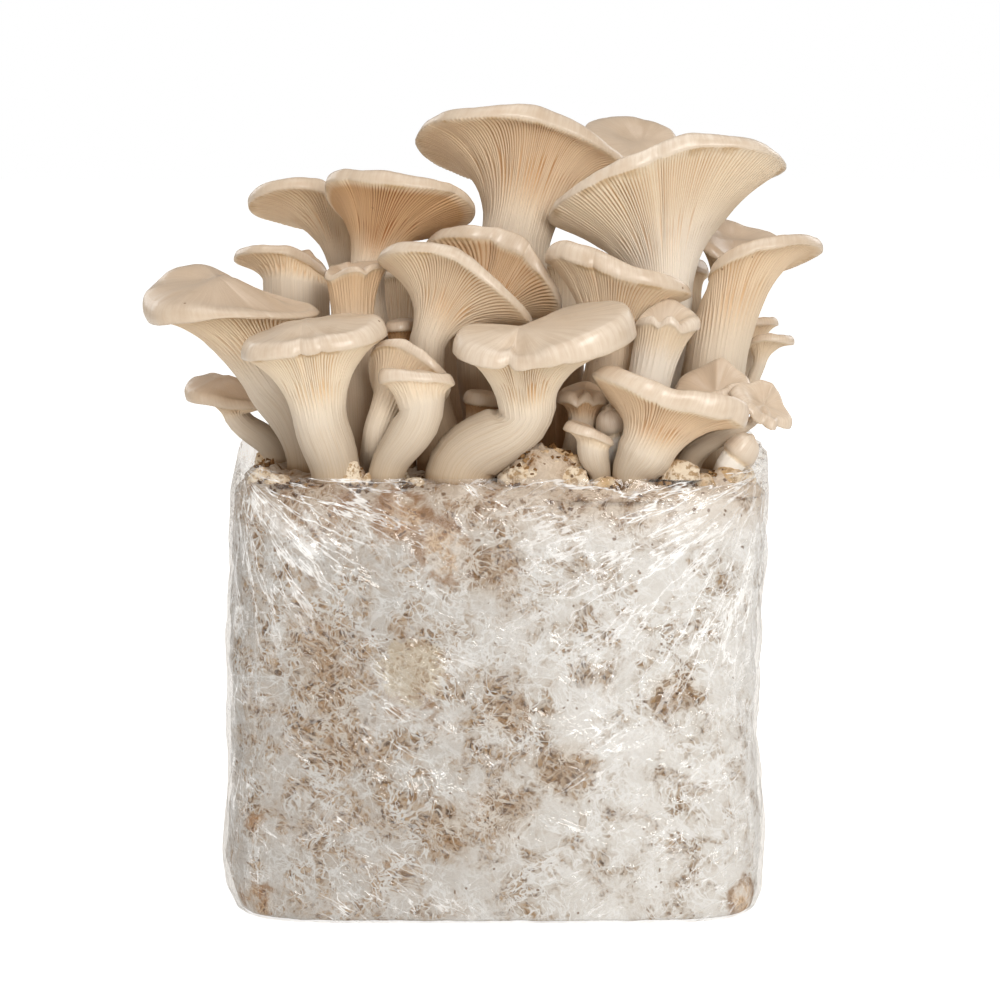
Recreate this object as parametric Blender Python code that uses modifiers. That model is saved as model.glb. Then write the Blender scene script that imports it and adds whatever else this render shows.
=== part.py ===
"""Oyster mushroom grow kit: a colonised sawdust block in an open clear bag, and the cluster on its top.

Metres, +Z up. The origin is the middle of the bag's flat base. +X is the front face's right, +Y is the back.
Sizes below are in millimetres and are turned into metres where the points are made.
"""

import math
from dataclasses import dataclass

import bmesh
import bpy
import numpy as np
from mathutils import Vector

MM = 0.001
GAP = 0.3  # clearance between pieces that touch

# The block and its bag
BLOCK_TOP = 169.0
FILM = 0.6  # a closed skin in place of the thin film
BAG_SIDES = 32  # points round the bag and the block
CORNER_POWER = 6.0  # 2 is an ellipse, and a large number is a square-cornered box

# Outline of the bag from its base up: height, half width, half depth, how far its middle lies to the right
BAG_OUTLINE = (
    (0.0, 99.5, 62.5, -2.0),
    (1.6, 102.5, 64.5, -2.0),
    (8.0, 105.0, 65.2, -2.2),
    (22.0, 106.3, 65.5, -2.3),
    (36.0, 106.3, 65.5, -2.0),
    (64.0, 103.9, 65.0, -3.1),
    (100.0, 103.8, 64.5, -2.4),
    (140.0, 104.1, 65.0, -1.5),
    (158.0, 103.8, 65.5, -0.6),
    (173.0, 103.0, 65.0, -0.2),
)
EAR_RISE = 6.0  # how much higher the bag's rim stands at its two ends than at its front
EAR_START = 0.72  # share of the half width where the ears begin

# Mounds of mycelium between the stems: x, y, half width, half depth, height
MOUNDS = (
    (17.0, -44.0, 15.0, 10.5, 11.5),
    (67.0, -45.0, 7.0, 7.0, 4.5),
    (-91.5, -10.0, 5.0, 9.0, 5.0),
)
TOP_EDGE = ((2.0, 4.0), (5.0, 0.8), (9.0, 0.0))  # rings of the rounded top edge: how far inwards and down

# Where the rings of one mushroom lie
BIG_SIDES, SMALL_SIDES = 14, 10
BIG_CAP = 26.0  # a cap that reaches further than this is a big one
BIG_STEPS = ((0.0, 0.35, 0.7), (0.0, 0.4, 0.75, 1.0))  # shares of the stem and of the bell
SMALL_STEPS = ((0.0, 0.55), (0.0, 0.6, 1.0))
RIM_ANGLES = (-20.0, 90.0)
RIM_JOIN = -115.0  # where the gills meet the rolled margin, as an angle round it
TOP_STEP = 0.5  # the one ring on the cap's upper side, as a share of the way to its middle


@dataclass
class Mushroom:
    """One fruiting body, stem and cap in one piece. Lengths in millimetres, angles in degrees."""

    name: str
    foot: tuple  # x, y of the stem on the block
    foot_radius: float
    neck: tuple  # x, y, z where the gills begin to flare
    neck_radius: float
    lean: tuple  # how far the cap's axis leans to the right and to the back
    reach: tuple  # from the axis to the margin: right, back, left, front
    rise: tuple  # from the neck to the margin: right, back, left, front
    bell: float = 72.0  # how far the flare has turned outwards at the margin
    roll: tuple = (4, 4, 4, 4)  # half width of the rolled margin: right, back, left, front
    band: tuple = (4, 4, 4, 4)  # half height of the rolled margin: right, back, left, front
    dish: float = 5.0  # depth of the hollow in the cap, negative for a dome
    lobes: tuple = (3, 0.03, 0.0)  # waves round the margin, their share of the reach, where they start


MUSHROOMS = (
    # the tall ones at the back of the cluster
    Mushroom("mushroom_crown_left", (9, 33), 13.5, (5.5, 31, 257), 14, (15, 18),
             (38.5, 32.5, 51.5, 29.5), (38, 36, 32.5, 44.5),
             bell=93, roll=(3, 4, 2.5, 4), band=(2.5, 5.5, 2.5, 4.5), dish=8),
    Mushroom("mushroom_crown_right", (56, 18), 12, (66, 14, 234.5), 10.5, (-1, 9),
             (47.5, 22.5, 47.5, 30.5), (53.5, 41, 34.5, 56.5),
             bell=29, roll=(6, 4.5, 2.5, 2.5), band=(2.5, 6, 2.5, 4), dish=8),
    Mushroom("mushroom_crown_back", (43, 50), 8, (61, 55, 269), 6.5, (-8, -4),
             (15, 18, 24, 16), (25.5, 33.5, 33, 19),
             bell=80, roll=(2.5, 2.5, 2.5, 2.5), band=(2.5, 2.5, 2.5, 2.5), dish=3),
    Mushroom("mushroom_upper_left", (-44, 8), 8, (-53, 6, 245.5), 7, (12, 23),
             (36, 20, 24.5, 24.5), (34, 24.5, 32, 31.5),
             bell=64, roll=(2.5, 4, 2.5, 2.5), band=(2.5, 4.5, 3, 3.5), dish=5),
    Mushroom("mushroom_upper_far_left", (-60, 38), 7.5, (-65, 43.5, 244.5), 5, (-9, 12),
             (9, 20, 35, 14.5), (11.5, 20.5, 33, 30.5),
             bell=79, roll=(4, 4, 2.5, 4), band=(4, 4, 2.5, 3.5), dish=3),
    # the middle of the cluster
    Mushroom("mushroom_left_large", (-75.5, -12), 8.5, (-88.5, -6, 208.5), 14.5, (-32, -7),
             (26.5, 15.5, 31.5, 27.5), (12, 37.5, 47.5, 32.5),
             bell=73, roll=(2.5, 3.5, 5.5, 6), band=(2.5, 6.5, 5, 3), dish=-7.5),
    Mushroom("mushroom_left_low", (-89, 12), 6, (-105.5, 12, 188), 5, (-22, 0),
             (18, 12, 17, 13), (2, 14, 16.5, 6.5),
             bell=86, roll=(2, 2.5, 3, 2.5), band=(2.5, 3, 3, 2.5), dish=-5.5),
    Mushroom("mushroom_left_mid", (-74, 21), 8, (-82.5, 23, 238.5), 13.5, (7, 17),
             (11.5, 15.5, 27, 13), (8, 13, 10.5, 11),
             bell=69, roll=(3.5, 4, 2.5, 3), band=(3, 5, 2.5, 2.5), dish=3),
    Mushroom("mushroom_left_small", (-55, -16), 7, (-57.5, -13.5, 224), 8, (-4, 8),
             (14, 9, 10, 11), (25, 26, 24, 23.5),
             bell=48, roll=(1.5, 2, 1.5, 1.5), band=(1.5, 2, 2, 1.5), dish=4, lobes=(5, 0.07, 20)),
    Mushroom("mushroom_centre", (-24, -12), 9, (-28.5, -26, 221), 7, (21, 16),
             (34, 14, 30, 20), (21, 29.5, 25, 32),
             bell=82, roll=(2.5, 4, 2.5, 3), band=(2.5, 5, 3, 3), dish=5),
    Mushroom("mushroom_centre_back", (-6, 4), 8, (-8, 3, 226.5), 8.5, (26, 14),
             (26, 8, 34.5, 14.5), (18, 12, 18.5, 31.5),
             bell=70, roll=(3.5, 4, 2.5, 2.5), band=(2.5, 5, 3.5, 4), dish=4),
    Mushroom("mushroom_centre_right", (34, -6), 9, (43, -12, 213), 9.5, (-1, 10),
             (31, 10, 25.5, 19.5), (25.5, 30, 41.5, 34),
             bell=65, roll=(3, 4, 5, 3), band=(2.5, 4, 4, 4.5), dish=5),
    Mushroom("mushroom_right_folded", (53, -20), 8, (57.5, -27.5, 207), 8.5, (12, 5),
             (14.5, 8.5, 10.5, 10.5), (25, 30, 20.5, 24),
             bell=46, roll=(2.5, 2, 1.5, 1.5), band=(2.5, 2, 2, 2), dish=7),
    Mushroom("mushroom_right_large", (80, -2), 11, (85, -2, 212), 12, (10, 18),
             (34, 20.5, 6.5, 23), (52, 37.5, 30.5, 37.5),
             bell=90, roll=(3.5, 4.5, 2.5, 2.5), band=(2.5, 5, 2.5, 3.5), dish=6),
    Mushroom("mushroom_right_back", (84, 40), 8, (94.5, 48, 236.5), 8, (1, 0),
             (20.5, 14, 23.5, 14), (18.5, 24, 27, 11),
             bell=78, roll=(2.5, 2.5, 2.5, 2.5), band=(2.5, 2.5, 2.5, 2.5), dish=2.5),
    Mushroom("mushroom_right_twin_upper", (90, 25), 5, (99.5, 25, 211.5), 5.5, (6, 4),
             (11, 8, 9, 8), (14, 10.5, 10.5, 13),
             bell=74, roll=(2, 2, 2, 2), band=(1.8, 2, 1.8, 1.8), dish=2),
    Mushroom("mushroom_right_twin_lower", (86.5, 12), 4, (103, 11.5, 208.5), 2.5, (12, 3),
             (11.5, 8, 6.5, 8), (12, 10.5, 8, 11.5),
             bell=67, roll=(2, 2, 2, 2), band=(1.8, 2, 1.8, 1.8), dish=2),
    Mushroom("mushroom_centre_small", (-38, -8), 4.5, (-39.5, -10, 217), 4, (-4, 0),
             (7, 8, 5.5, 8), (9, 9, 9, 9),
             bell=76, roll=(2, 2, 2, 2), band=(2, 2, 2, 2), dish=-1),
    Mushroom("mushroom_centre_shaded", (-8, -22), 5, (-9, -24, 190), 5, (8, 0),
             (9, 7, 7, 9), (9, 9, 9, 9),
             bell=80, roll=(2, 2, 2, 2), band=(2.5, 2.5, 2.5, 2.5), dish=-1),
    # the front row
    Mushroom("mushroom_front_left", (-63, -46), 9.5, (-69, -46, 193.5), 10.5, (-9, -3),
             (29.5, 17, 26.5, 18), (30.5, 32, 30.5, 29.5),
             bell=61, roll=(4, 4, 4.5, 4), band=(4.5, 5, 4, 3.5), dish=-3.5),
    Mushroom("mushroom_front_pair_back", (-48, -32), 6.5, (-47, -41, 189.5), 5.5, (21, 10),
             (20, 7, 13.5, 8), (22.5, 7, 25, 32.5),
             bell=71, roll=(2, 3.5, 2, 2), band=(2, 3, 2, 2.5), dish=2),
    Mushroom("mushroom_front_pair_front", (-44, -50), 7, (-30, -51.5, 199.5), 9, (-14, 3),
             (13.5, 5.5, 14, 12), (6, 6.5, 13.5, 11.5),
             bell=86, roll=(2, 2.5, 2.5, 2), band=(2.5, 2.5, 3, 2.5), dish=-2),
    Mushroom("mushroom_front_centre", (-16.5, -44), 13, (10, -46, 197), 11, (-5, -13),
             (42.5, 21.5, 27.5, 20.5), (31, 22.5, 28.5, 24.5),
             bell=63, roll=(4, 3.5, 6, 4.5), band=(6.5, 5, 5, 3), dish=-2),
    Mushroom("mushroom_front_baby", (38, -47), 4, (35, -48, 182.5), 6, (11, 2),
             (7, 6, 13, 9), (3.5, 4, 6.5, 5.5),
             bell=84, roll=(2, 2.5, 2.5, 2), band=(2, 3, 2.5, 2), dish=0),
    Mushroom("mushroom_front_baby_back", (27.5, -30), 5.5, (31.5, -31, 191.5), 5.5, (4, 4),
             (9.5, 9, 11, 8), (8.5, 11.5, 8, 9),
             bell=80, roll=(2.5, 2.5, 2.5, 2.5), band=(2.5, 2.5, 2.5, 2.5), dish=0),
    Mushroom("mushroom_front_bud", (43, -33), 4, (43.5, -35, 184), 5, (-10, -6),
             (6, 6, 6, 6), (7, 7, 7, 7),
             bell=30, roll=(4, 4, 4, 4), band=(4.5, 4.5, 4.5, 4.5), dish=-2),
    Mushroom("mushroom_front_right", (49.5, -48), 7, (55.5, -48, 181.5), 11, (27, 0),
             (28, 12, 33, 19), (27, 5, 18, 23),
             bell=65, roll=(4, 4, 4, 2.5), band=(4.5, 3, 3, 4.5), dish=3.5),
    Mushroom("mushroom_front_right_lobed", (72, -20), 6, (83, -24, 190.5), 6, (4, 4),
             (12.5, 8, 19, 9), (15, 21.5, 9.5, 8.5),
             bell=74, roll=(2.5, 2.5, 2.5, 2.5), band=(2.5, 2.5, 2.5, 2.5), dish=6, lobes=(5, 0.08, 30)),
    Mushroom("mushroom_front_right_frilly", (71, -32), 4.5, (100, -32.5, 194), 2, (25, 0),
             (12, 7.5, 13, 9), (1.5, 9.5, 4, -1.5),
             bell=84, roll=(2.5, 2.5, 2.5, 2.5), band=(2.5, 2.5, 2.5, 2.5), dish=2, lobes=(6, 0.1, 0)),
    Mushroom("mushroom_right_bud", (85.5, -38), 4.5, (89, -38.5, 176.5), 5.5, (38, 0),
             (7, 7, 7, 7), (6, 6, 6, 6),
             bell=30, roll=(4, 4, 4, 4), band=(5, 5, 5, 5), dish=-2),
    # the ones that only the back and the sides show
    Mushroom("mushroom_back_left", (-40, 46), 8, (-42, 50, 216), 8, (-4, 14),
             (22, 22, 16, 14), (26, 26, 26, 26),
             bell=78, roll=(3, 3, 3, 3), band=(4, 4, 4, 4), dish=2),
    Mushroom("mushroom_back_centre", (-18.5, 51), 8.5, (-18.5, 55, 206), 8.5, (0, 12),
             (32, 20, 11, 13), (27, 27, 27, 27),
             bell=78, roll=(3, 3, 3, 3), band=(4, 4, 4, 4), dish=3),
    Mushroom("mushroom_back_right", (70, 52), 6.5, (75, 56, 221), 7.5, (0, 14),
             (9.5, 20, 10, 11), (24, 24, 24, 24),
             bell=80, roll=(3, 3, 3, 3), band=(3.5, 3.5, 3.5, 3.5), dish=0),
    Mushroom("mushroom_back_small_left", (-86, 40), 6, (-99, 41, 204), 6.5, (-8, -4),
             (9, 15, 21, 12), (18, 18, 18, 18),
             bell=80, roll=(2.5, 2.5, 2.5, 2.5), band=(3, 3, 3, 3), dish=0),
    Mushroom("mushroom_back_small_right", (27.5, 54), 7, (27, 58, 228), 7.5, (0, 14),
             (12, 14, 13, 10), (18, 18, 18, 18),
             bell=82, roll=(2, 2, 2, 2), band=(3, 3, 3, 3), dish=1),
)


def make_material(name, colour, roughness, alpha=1.0):
    """A Principled surface with the part's own colour."""
    material = bpy.data.materials.new(name)
    material.use_nodes = True
    shader = material.node_tree.nodes["Principled BSDF"]
    shader.inputs["Base Color"].default_value = (*colour, 1.0)
    shader.inputs["Roughness"].default_value = roughness
    shader.inputs["Metallic"].default_value = 0.0
    shader.inputs["Alpha"].default_value = alpha
    return material


def add_object(name, bm, material, collection, origin=(0.0, 0.0, 0.0)):
    """Makes an object of the bmesh, with its faces pointing out and its origin at the given point."""
    bmesh.ops.recalc_face_normals(bm, faces=bm.faces)
    bmesh.ops.translate(bm, vec=-Vector(origin) * MM, verts=bm.verts)
    mesh = bpy.data.meshes.new(name)
    bm.to_mesh(mesh)
    bm.free()
    mesh.shade_smooth()
    if material is not None:
        mesh.materials.append(material)
    obj = bpy.data.objects.new(name, mesh)
    obj.location = Vector(origin) * MM
    collection.objects.link(obj)
    return obj


def loft(rings, last_point=None):
    """A skin through the rings, flat across the first. It closes on last_point, or stays open at the top."""
    bm = bmesh.new()
    loops = [[bm.verts.new(Vector(point) * MM) for point in ring] for ring in rings]
    count = len(rings[0])
    bm.faces.new(loops[0])
    for low, high in zip(loops, loops[1:]):
        for i in range(count):
            j = (i + 1) % count
            bm.faces.new((low[i], low[j], high[j], high[i]))
    if last_point is not None:
        tip = bm.verts.new(Vector(last_point) * MM)
        for i in range(count):
            bm.faces.new((loops[-1][i], loops[-1][(i + 1) % count], tip))
    return bm


def turns(count):
    """Evenly spaced angles round the axis, in radians."""
    return np.arange(count) * 2 * math.pi / count


def rounded_outline(half_width, half_depth, middle):
    """Points round a box with full, soft corners, evenly spread by angle."""
    angle = turns(BAG_SIDES)
    across, along = np.cos(angle), np.sin(angle)
    size = (np.abs(across) ** CORNER_POWER + np.abs(along) ** CORNER_POWER) ** (-1 / CORNER_POWER)
    return np.column_stack([middle + across * size * half_width, along * size * half_depth])


def ear_height(x, half_width):
    """How far the rim stands up near the bag's two ends."""
    share = np.clip((np.abs(x) / half_width - EAR_START) / (1 - EAR_START), 0, 1)
    return EAR_RISE * share * share * (3 - 2 * share)


def build_bag(material, collection):
    """The open bag: an open skin along the outline, thickened inwards."""
    rings = []
    for height, half_width, half_depth, middle in BAG_OUTLINE:
        outline = rounded_outline(half_width, half_depth, middle)
        z = np.full(len(outline), height)
        if height == BAG_OUTLINE[-1][0]:
            z += ear_height(outline[:, 0] - middle, half_width)
        rings.append(np.column_stack([outline, z]))
    bag = add_object("bag", loft(rings), material, collection)
    wall = bag.modifiers.new("film", "SOLIDIFY")
    wall.thickness = FILM * MM
    wall.offset = -1.0
    wall.use_even_offset = True
    return bag


def build_mound(index, size, collection):
    """A squashed ball that is joined to the block's top."""
    x, y, half_width, half_depth, height = size
    bm = bmesh.new()
    bmesh.ops.create_icosphere(bm, subdivisions=2, radius=MM)
    bmesh.ops.scale(bm, vec=(half_width, half_depth, height), verts=bm.verts)
    bmesh.ops.translate(bm, vec=Vector((x, y, BLOCK_TOP - 0.1)) * MM, verts=bm.verts)
    return add_object(f"mound_{index}", bm, None, collection)


def build_block(material, collection, helpers):
    """The colonised block: it fills the bag, less film and gap, and has mounds between the stems."""
    inset = FILM + 2 * GAP
    rings = []
    for height, half_width, half_depth, middle in BAG_OUTLINE:
        if height > BLOCK_TOP - 5:
            break
        outline = rounded_outline(half_width - inset, half_depth - inset, middle)
        rings.append(np.column_stack([outline, np.full(BAG_SIDES, height + FILM + GAP)]))
    _, top_width, top_depth, middle = BAG_OUTLINE[-2]
    for inward, down in TOP_EDGE:
        outline = rounded_outline(top_width - inward, top_depth - inward, middle)
        rings.append(np.column_stack([outline, np.full(BAG_SIDES, BLOCK_TOP - down)]))
    block = add_object("substrate_block", loft(rings, (0.0, 0.0, BLOCK_TOP)), material, collection)
    for index, size in enumerate(MOUNDS):
        union = block.modifiers.new("mound", "BOOLEAN")
        union.operation = "UNION"
        union.solver = "EXACT"
        union.object = build_mound(index, size, helpers)
    return block


def unit(vector):
    return vector / np.linalg.norm(vector)


def cap_frame(normal):
    """Two directions across the given axis: the first to the right, the second to the back."""
    right = unit(np.array([1.0, 0.0, 0.0]) - normal[0] * normal)
    return right, np.cross(normal, right)


def cap_axis(mushroom):
    """The cap's axis, leaning right and back from upright."""
    right, back = (math.tan(math.radians(angle)) for angle in mushroom.lean)
    return unit(np.array([right, back, 1.0]))


def round_the_cap(values, angle):
    """A smooth value round the cap through its right, back, left and front values."""
    right, back, left, front = values
    return (
        (right + back + left + front) / 4
        + (right - left) / 2 * np.cos(angle)
        + (back - front) / 2 * np.sin(angle)
        + (right + left - back - front) / 4 * np.cos(2 * angle)
    )


def stem_ring(mushroom, t, angle):
    """The ring at share t of the stem, which bends from upright at its foot to the cap's axis at its neck."""
    axis = cap_axis(mushroom)
    foot = np.array([*mushroom.foot, BLOCK_TOP + GAP])
    neck = np.array(mushroom.neck, float)
    length = np.linalg.norm(neck - foot)
    handles = foot + np.array([0, 0, 0.4 * length]), neck - 0.35 * length * unit(axis + unit(neck - foot))
    points = (foot, *handles, neck)
    weights = ((1 - t) ** 3, 3 * t * (1 - t) ** 2, 3 * t * t * (1 - t), t**3)
    centre = sum(w * p for w, p in zip(weights, points))
    slopes = (3 * (1 - t) ** 2, 6 * t * (1 - t), 3 * t * t)
    along = unit(sum(w * (q - p) for w, p, q in zip(slopes, points, points[1:])))
    upright = unit((1 - t) * np.array([0.0, 0.0, 1.0]) + t * axis)
    bend = 4 * t * (1 - t)
    normal = unit((1 - bend) * upright + bend * along)
    right, back = cap_frame(normal)
    swell = 0.5 + 0.5 * math.cos(math.pi * t)
    radius = mushroom.neck_radius + (mushroom.foot_radius - mushroom.neck_radius) * swell
    return centre + radius * (np.outer(np.cos(angle), right) + np.outer(np.sin(angle), back))


def cap_ring(mushroom, across, up, angle):
    """The ring that lies across from the cap's axis and up from its neck."""
    axis = cap_axis(mushroom)
    right, back = cap_frame(axis)
    outward = np.outer(np.cos(angle), right) + np.outer(np.sin(angle), back)
    return np.array(mushroom.neck, float) + across[:, None] * outward + np.outer(up, axis)


def margin(mushroom, angle):
    """The rolled margin round the cap: its middle across and up, and its half width and half height."""
    waves, share, start = mushroom.lobes
    wave = np.cos(waves * angle + math.radians(start))
    reach = round_the_cap(mushroom.reach, angle) * (1 + share * wave)
    roll = round_the_cap(mushroom.roll, angle)
    return reach - roll, round_the_cap(mushroom.rise, angle), roll, round_the_cap(mushroom.band, angle)


def bell_ring(mushroom, t, angle):
    """The gilled underside at share t from the neck to the rolled margin."""
    across, up, roll, band = margin(mushroom, angle)
    join = math.radians(RIM_JOIN)
    end_across = across + roll * math.cos(join)
    end_up = up + band * math.sin(join)
    turn, last = math.radians(mushroom.bell) * t, math.radians(mushroom.bell)
    opened = (1 - math.cos(turn)) / (1 - math.cos(last))
    across = mushroom.neck_radius + (end_across - mushroom.neck_radius) * opened
    return cap_ring(mushroom, across, end_up * math.sin(turn) / math.sin(last), angle)


def rim_ring(mushroom, degrees, angle):
    """A ring round the rolled margin, from its underside at -90 degrees to its crest at 90."""
    across, up, roll, band = margin(mushroom, angle)
    turn = math.radians(degrees)
    return cap_ring(mushroom, across + roll * math.cos(turn), up + band * math.sin(turn), angle)


def top_ring(mushroom, t, angle):
    """The cap's upper side at share t from the crest of the margin to its middle."""
    across, up, _, band = margin(mushroom, angle)
    middle = float(np.mean(mushroom.rise) + np.mean(mushroom.band)) - mushroom.dish
    blend = t * t * (3 - 2 * t)
    return cap_ring(mushroom, across * (1 - t), (up + band) * (1 - blend) + middle * blend, angle)


def build_mushroom(mushroom, material, collection):
    """Stem, gilled bell, rolled margin and upper side in one skin, with its origin at its foot."""
    big = max(mushroom.reach) > BIG_CAP
    angle = turns(BIG_SIDES if big else SMALL_SIDES)
    stem_steps, bell_steps = BIG_STEPS if big else SMALL_STEPS
    rings = [stem_ring(mushroom, t, angle) for t in stem_steps]
    rings += [bell_ring(mushroom, t, angle) for t in bell_steps]
    rings += [rim_ring(mushroom, degrees, angle) for degrees in RIM_ANGLES]
    rings.append(top_ring(mushroom, TOP_STEP, angle))
    middle = top_ring(mushroom, 1.0, angle)[0]
    foot = (*mushroom.foot, BLOCK_TOP + GAP)
    return add_object(mushroom.name, loft(rings, middle), material, collection, foot)


def clear_scene():
    for obj in list(bpy.data.objects):
        bpy.data.objects.remove(obj, do_unlink=True)


def main():
    clear_scene()
    kit = bpy.data.collections.new("oyster mushroom grow kit")
    bpy.context.scene.collection.children.link(kit)
    helpers = bpy.data.collections.new("helpers")
    helpers.hide_render = True
    bpy.context.scene.collection.children.link(helpers)
    film = make_material("clear_film", (0.93, 0.94, 0.95), 0.12, alpha=0.3)
    mycelium = make_material("mycelium_block", (0.78, 0.74, 0.68), 0.85)
    flesh = make_material("mushroom_flesh", (0.80, 0.70, 0.57), 0.55)
    build_bag(film, kit)
    build_block(mycelium, kit, helpers)
    for mushroom in MUSHROOMS:
        build_mushroom(mushroom, flesh, kit)


main()
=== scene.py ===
# %% [markdown]
# # Dressing an oyster mushroom grow kit
# The real kit is a block of damp sawdust, bound by white mycelium, in a clear bag that has been cut open. The
# mushrooms grow from its top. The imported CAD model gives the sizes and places, and this lesson gives the
# looks: gills, thin cap margins, the fibrous block, the creased film and the crumbs round the feet.

# %% Load the frame
import functools
import math
from dataclasses import dataclass

import bpy
import numpy as np
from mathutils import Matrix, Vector


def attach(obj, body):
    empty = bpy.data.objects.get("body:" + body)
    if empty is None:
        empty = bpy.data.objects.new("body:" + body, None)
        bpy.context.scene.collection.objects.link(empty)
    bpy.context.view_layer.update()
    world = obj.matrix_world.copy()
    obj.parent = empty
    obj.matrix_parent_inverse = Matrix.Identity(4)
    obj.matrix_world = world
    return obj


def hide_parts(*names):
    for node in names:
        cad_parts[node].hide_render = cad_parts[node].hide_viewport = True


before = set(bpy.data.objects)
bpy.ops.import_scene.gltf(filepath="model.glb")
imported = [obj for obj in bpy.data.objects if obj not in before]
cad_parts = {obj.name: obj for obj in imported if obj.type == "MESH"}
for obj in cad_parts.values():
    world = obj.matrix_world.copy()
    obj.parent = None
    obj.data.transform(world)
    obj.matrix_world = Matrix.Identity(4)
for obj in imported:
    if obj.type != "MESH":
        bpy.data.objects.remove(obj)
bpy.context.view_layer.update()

MM = 0.001
print("CAD nodes:", len(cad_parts))

# %% [markdown]
# ## Camera
# The photo is a product shot from a little above the block's middle, with a long lens, so that the sides
# hardly converge. A camera turned 82 degrees from straight down looks 8 degrees downwards.


# %% Camera
def place_in_scene(name, data):
    """A new object in the scene, for a mesh, a lamp or a camera."""
    obj = bpy.data.objects.new(name, data)
    bpy.context.scene.collection.objects.link(obj)
    return obj


camera_data = bpy.data.cameras.new("photo_camera")
camera_data.lens, camera_data.sensor_width = 110, 36
camera = place_in_scene("photo_camera", camera_data)
camera.location = (-0.0004, -1.2052, 0.3252)
camera.rotation_euler = (math.radians(82), 0, 0)
bpy.context.scene.camera = camera
print("camera", tuple(round(value, 3) for value in camera.location))

# %% [markdown]
# ## Shader helpers
# Every finish here is a few nodes wired together. These helpers keep that wiring short: one adds a node and
# feeds it values or other nodes' outputs, and the others are the one or two nodes that come up again and
# again. They all work on the node tree that is called `tree` at the time, so each finish starts by giving
# that name to its own.


# %% Shader helpers
def feed(socket, value):
    """Joins the socket to another node's output, or gives it a plain value. A colour has three numbers."""
    if isinstance(value, bpy.types.NodeSocket):
        tree.links.new(value, socket)
    else:
        socket.default_value = (*value, 1.0) if socket.type == "RGBA" else value


def node(kind, inputs=None, **settings):
    """A shader node with its settings and inputs."""
    made = tree.nodes.new("ShaderNode" + kind)
    for name, value in settings.items():
        setattr(made, name, value)
    for name, value in (inputs or {}).items():
        feed(made.inputs[name], value)
    return made


def calc(operation, *values):
    """One sum on one or more values."""
    made = node("Math", operation=operation)
    for socket, value in zip(made.inputs, values):
        feed(socket, value)
    return made.outputs[0]


def chain(operation):
    """A helper that joins any number of values by one operation, such as times(a, b, c)."""
    return lambda *values: functools.reduce(functools.partial(calc, operation), values)


times, plus, minus, most = (chain(operation) for operation in ("MULTIPLY", "ADD", "SUBTRACT", "MAXIMUM"))


def apart(value, middle):
    """How far a value lies from another."""
    return calc("ABSOLUTE", minus(value, middle))


def span(value, low, high):
    """0 below low, 1 above high, and a soft step between them. With low above high it falls."""
    inputs = {"Value": value, "From Min": low, "From Max": high}
    return node("MapRange", inputs, interpolation_type="SMOOTHSTEP").outputs[0]


def noise(place, scale, detail=2.0, roughness=0.5, distortion=0.0, field="Fac"):
    """Cloudy noise at a place, about 0.5 on average."""
    made = node("TexNoise", {"Vector": place, "Scale": scale, "Detail": detail})
    feed(made.inputs["Roughness"], roughness)
    feed(made.inputs["Distortion"], distortion)
    return made.outputs[field]


def read(name, field="Fac"):
    """A named attribute of the mesh."""
    return node("Attribute", attribute_name=name).outputs[field]


print("shader helpers ready")

# %% [markdown]
# ## Colour helpers
# A finish is painted in layers. Each layer has a mask that says where it lies, how strong it is, and its
# tone, which covers what is below or is multiplied with it, as a stain is.


# %% Colour helpers
def mix(factor, first, second, mode="MIX"):
    """Two colours blended by a factor."""
    made = node("Mix", data_type="RGBA", blend_type=mode)
    for index, value in ((0, factor), (6, first), (7, second)):
        feed(made.inputs[index], value)
    return made.outputs[2]


def paint(colour, layers):
    """Lays the layers over a colour, one after another."""
    for mask, strength, tone, mode in layers:
        colour = mix(times(mask, strength), colour, tone, mode)
    return colour


def ramp(factor, stops):
    """A colour for each place between 0 and 1."""
    made = node("ValToRGB", {"Fac": factor})
    elements = made.color_ramp.elements
    while len(elements) < len(stops):
        elements.new(0.5)
    for element, (position, colour) in zip(elements, stops):
        element.position = position
        element.color = (*colour, 1.0)
    return made.outputs["Color"]


def grey(level):
    return (level, level, level)


def new_material(name):
    """An empty material with its tree, its Principled shader and its output."""
    material = bpy.data.materials.new(name)
    material.use_nodes = True
    nodes = material.node_tree.nodes
    return material, material.node_tree, nodes["Principled BSDF"], nodes["Material Output"]


def finish_surface(height=None, strength=0.5, distance=0.0, **values):
    """Sets the Principled shader in hand, with a bump from a height, and gives the bump's normal."""
    for name, value in values.items():
        feed(surface.inputs[name.replace("_", " ")], value)
    if height is not None:
        bump = node("Bump", {"Height": height, "Strength": strength, "Distance": distance}).outputs["Normal"]
        feed(surface.inputs["Normal"], bump)
        return bump


print("colour helpers ready")

# %% [markdown]
# ## Specks
# Small dark specks lie on flesh, block and tufts alike: dust, and bits of bran. They are a node group that is
# built once and placed in each finish with its own values. Its cells come from a Voronoi texture, and chance
# says which of them hold a speck.

# %% Specks
tree = SPECK_GROUP = bpy.data.node_groups.new("bran_specks", "ShaderNodeTree")
tree.interface.new_socket("Place", in_out="INPUT", socket_type="NodeSocketVector")
for name in ("Scale", "Radius", "Share"):
    tree.interface.new_socket(name, in_out="INPUT", socket_type="NodeSocketFloat")
tree.interface.new_socket("Speck", in_out="OUTPUT", socket_type="NodeSocketFloat")
given, result = tree.nodes.new("NodeGroupInput").outputs, tree.nodes.new("NodeGroupOutput").inputs
cells = node("TexVoronoi", {"Vector": given["Place"], "Scale": given["Scale"]}).outputs
chance = node("SeparateColor", {"Color": cells["Color"]}).outputs[1]
round_spot = span(cells["Distance"], given["Radius"], times(given["Radius"], 0.5))
feed(result["Speck"], times(round_spot, calc("LESS_THAN", chance, given["Share"])))


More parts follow.
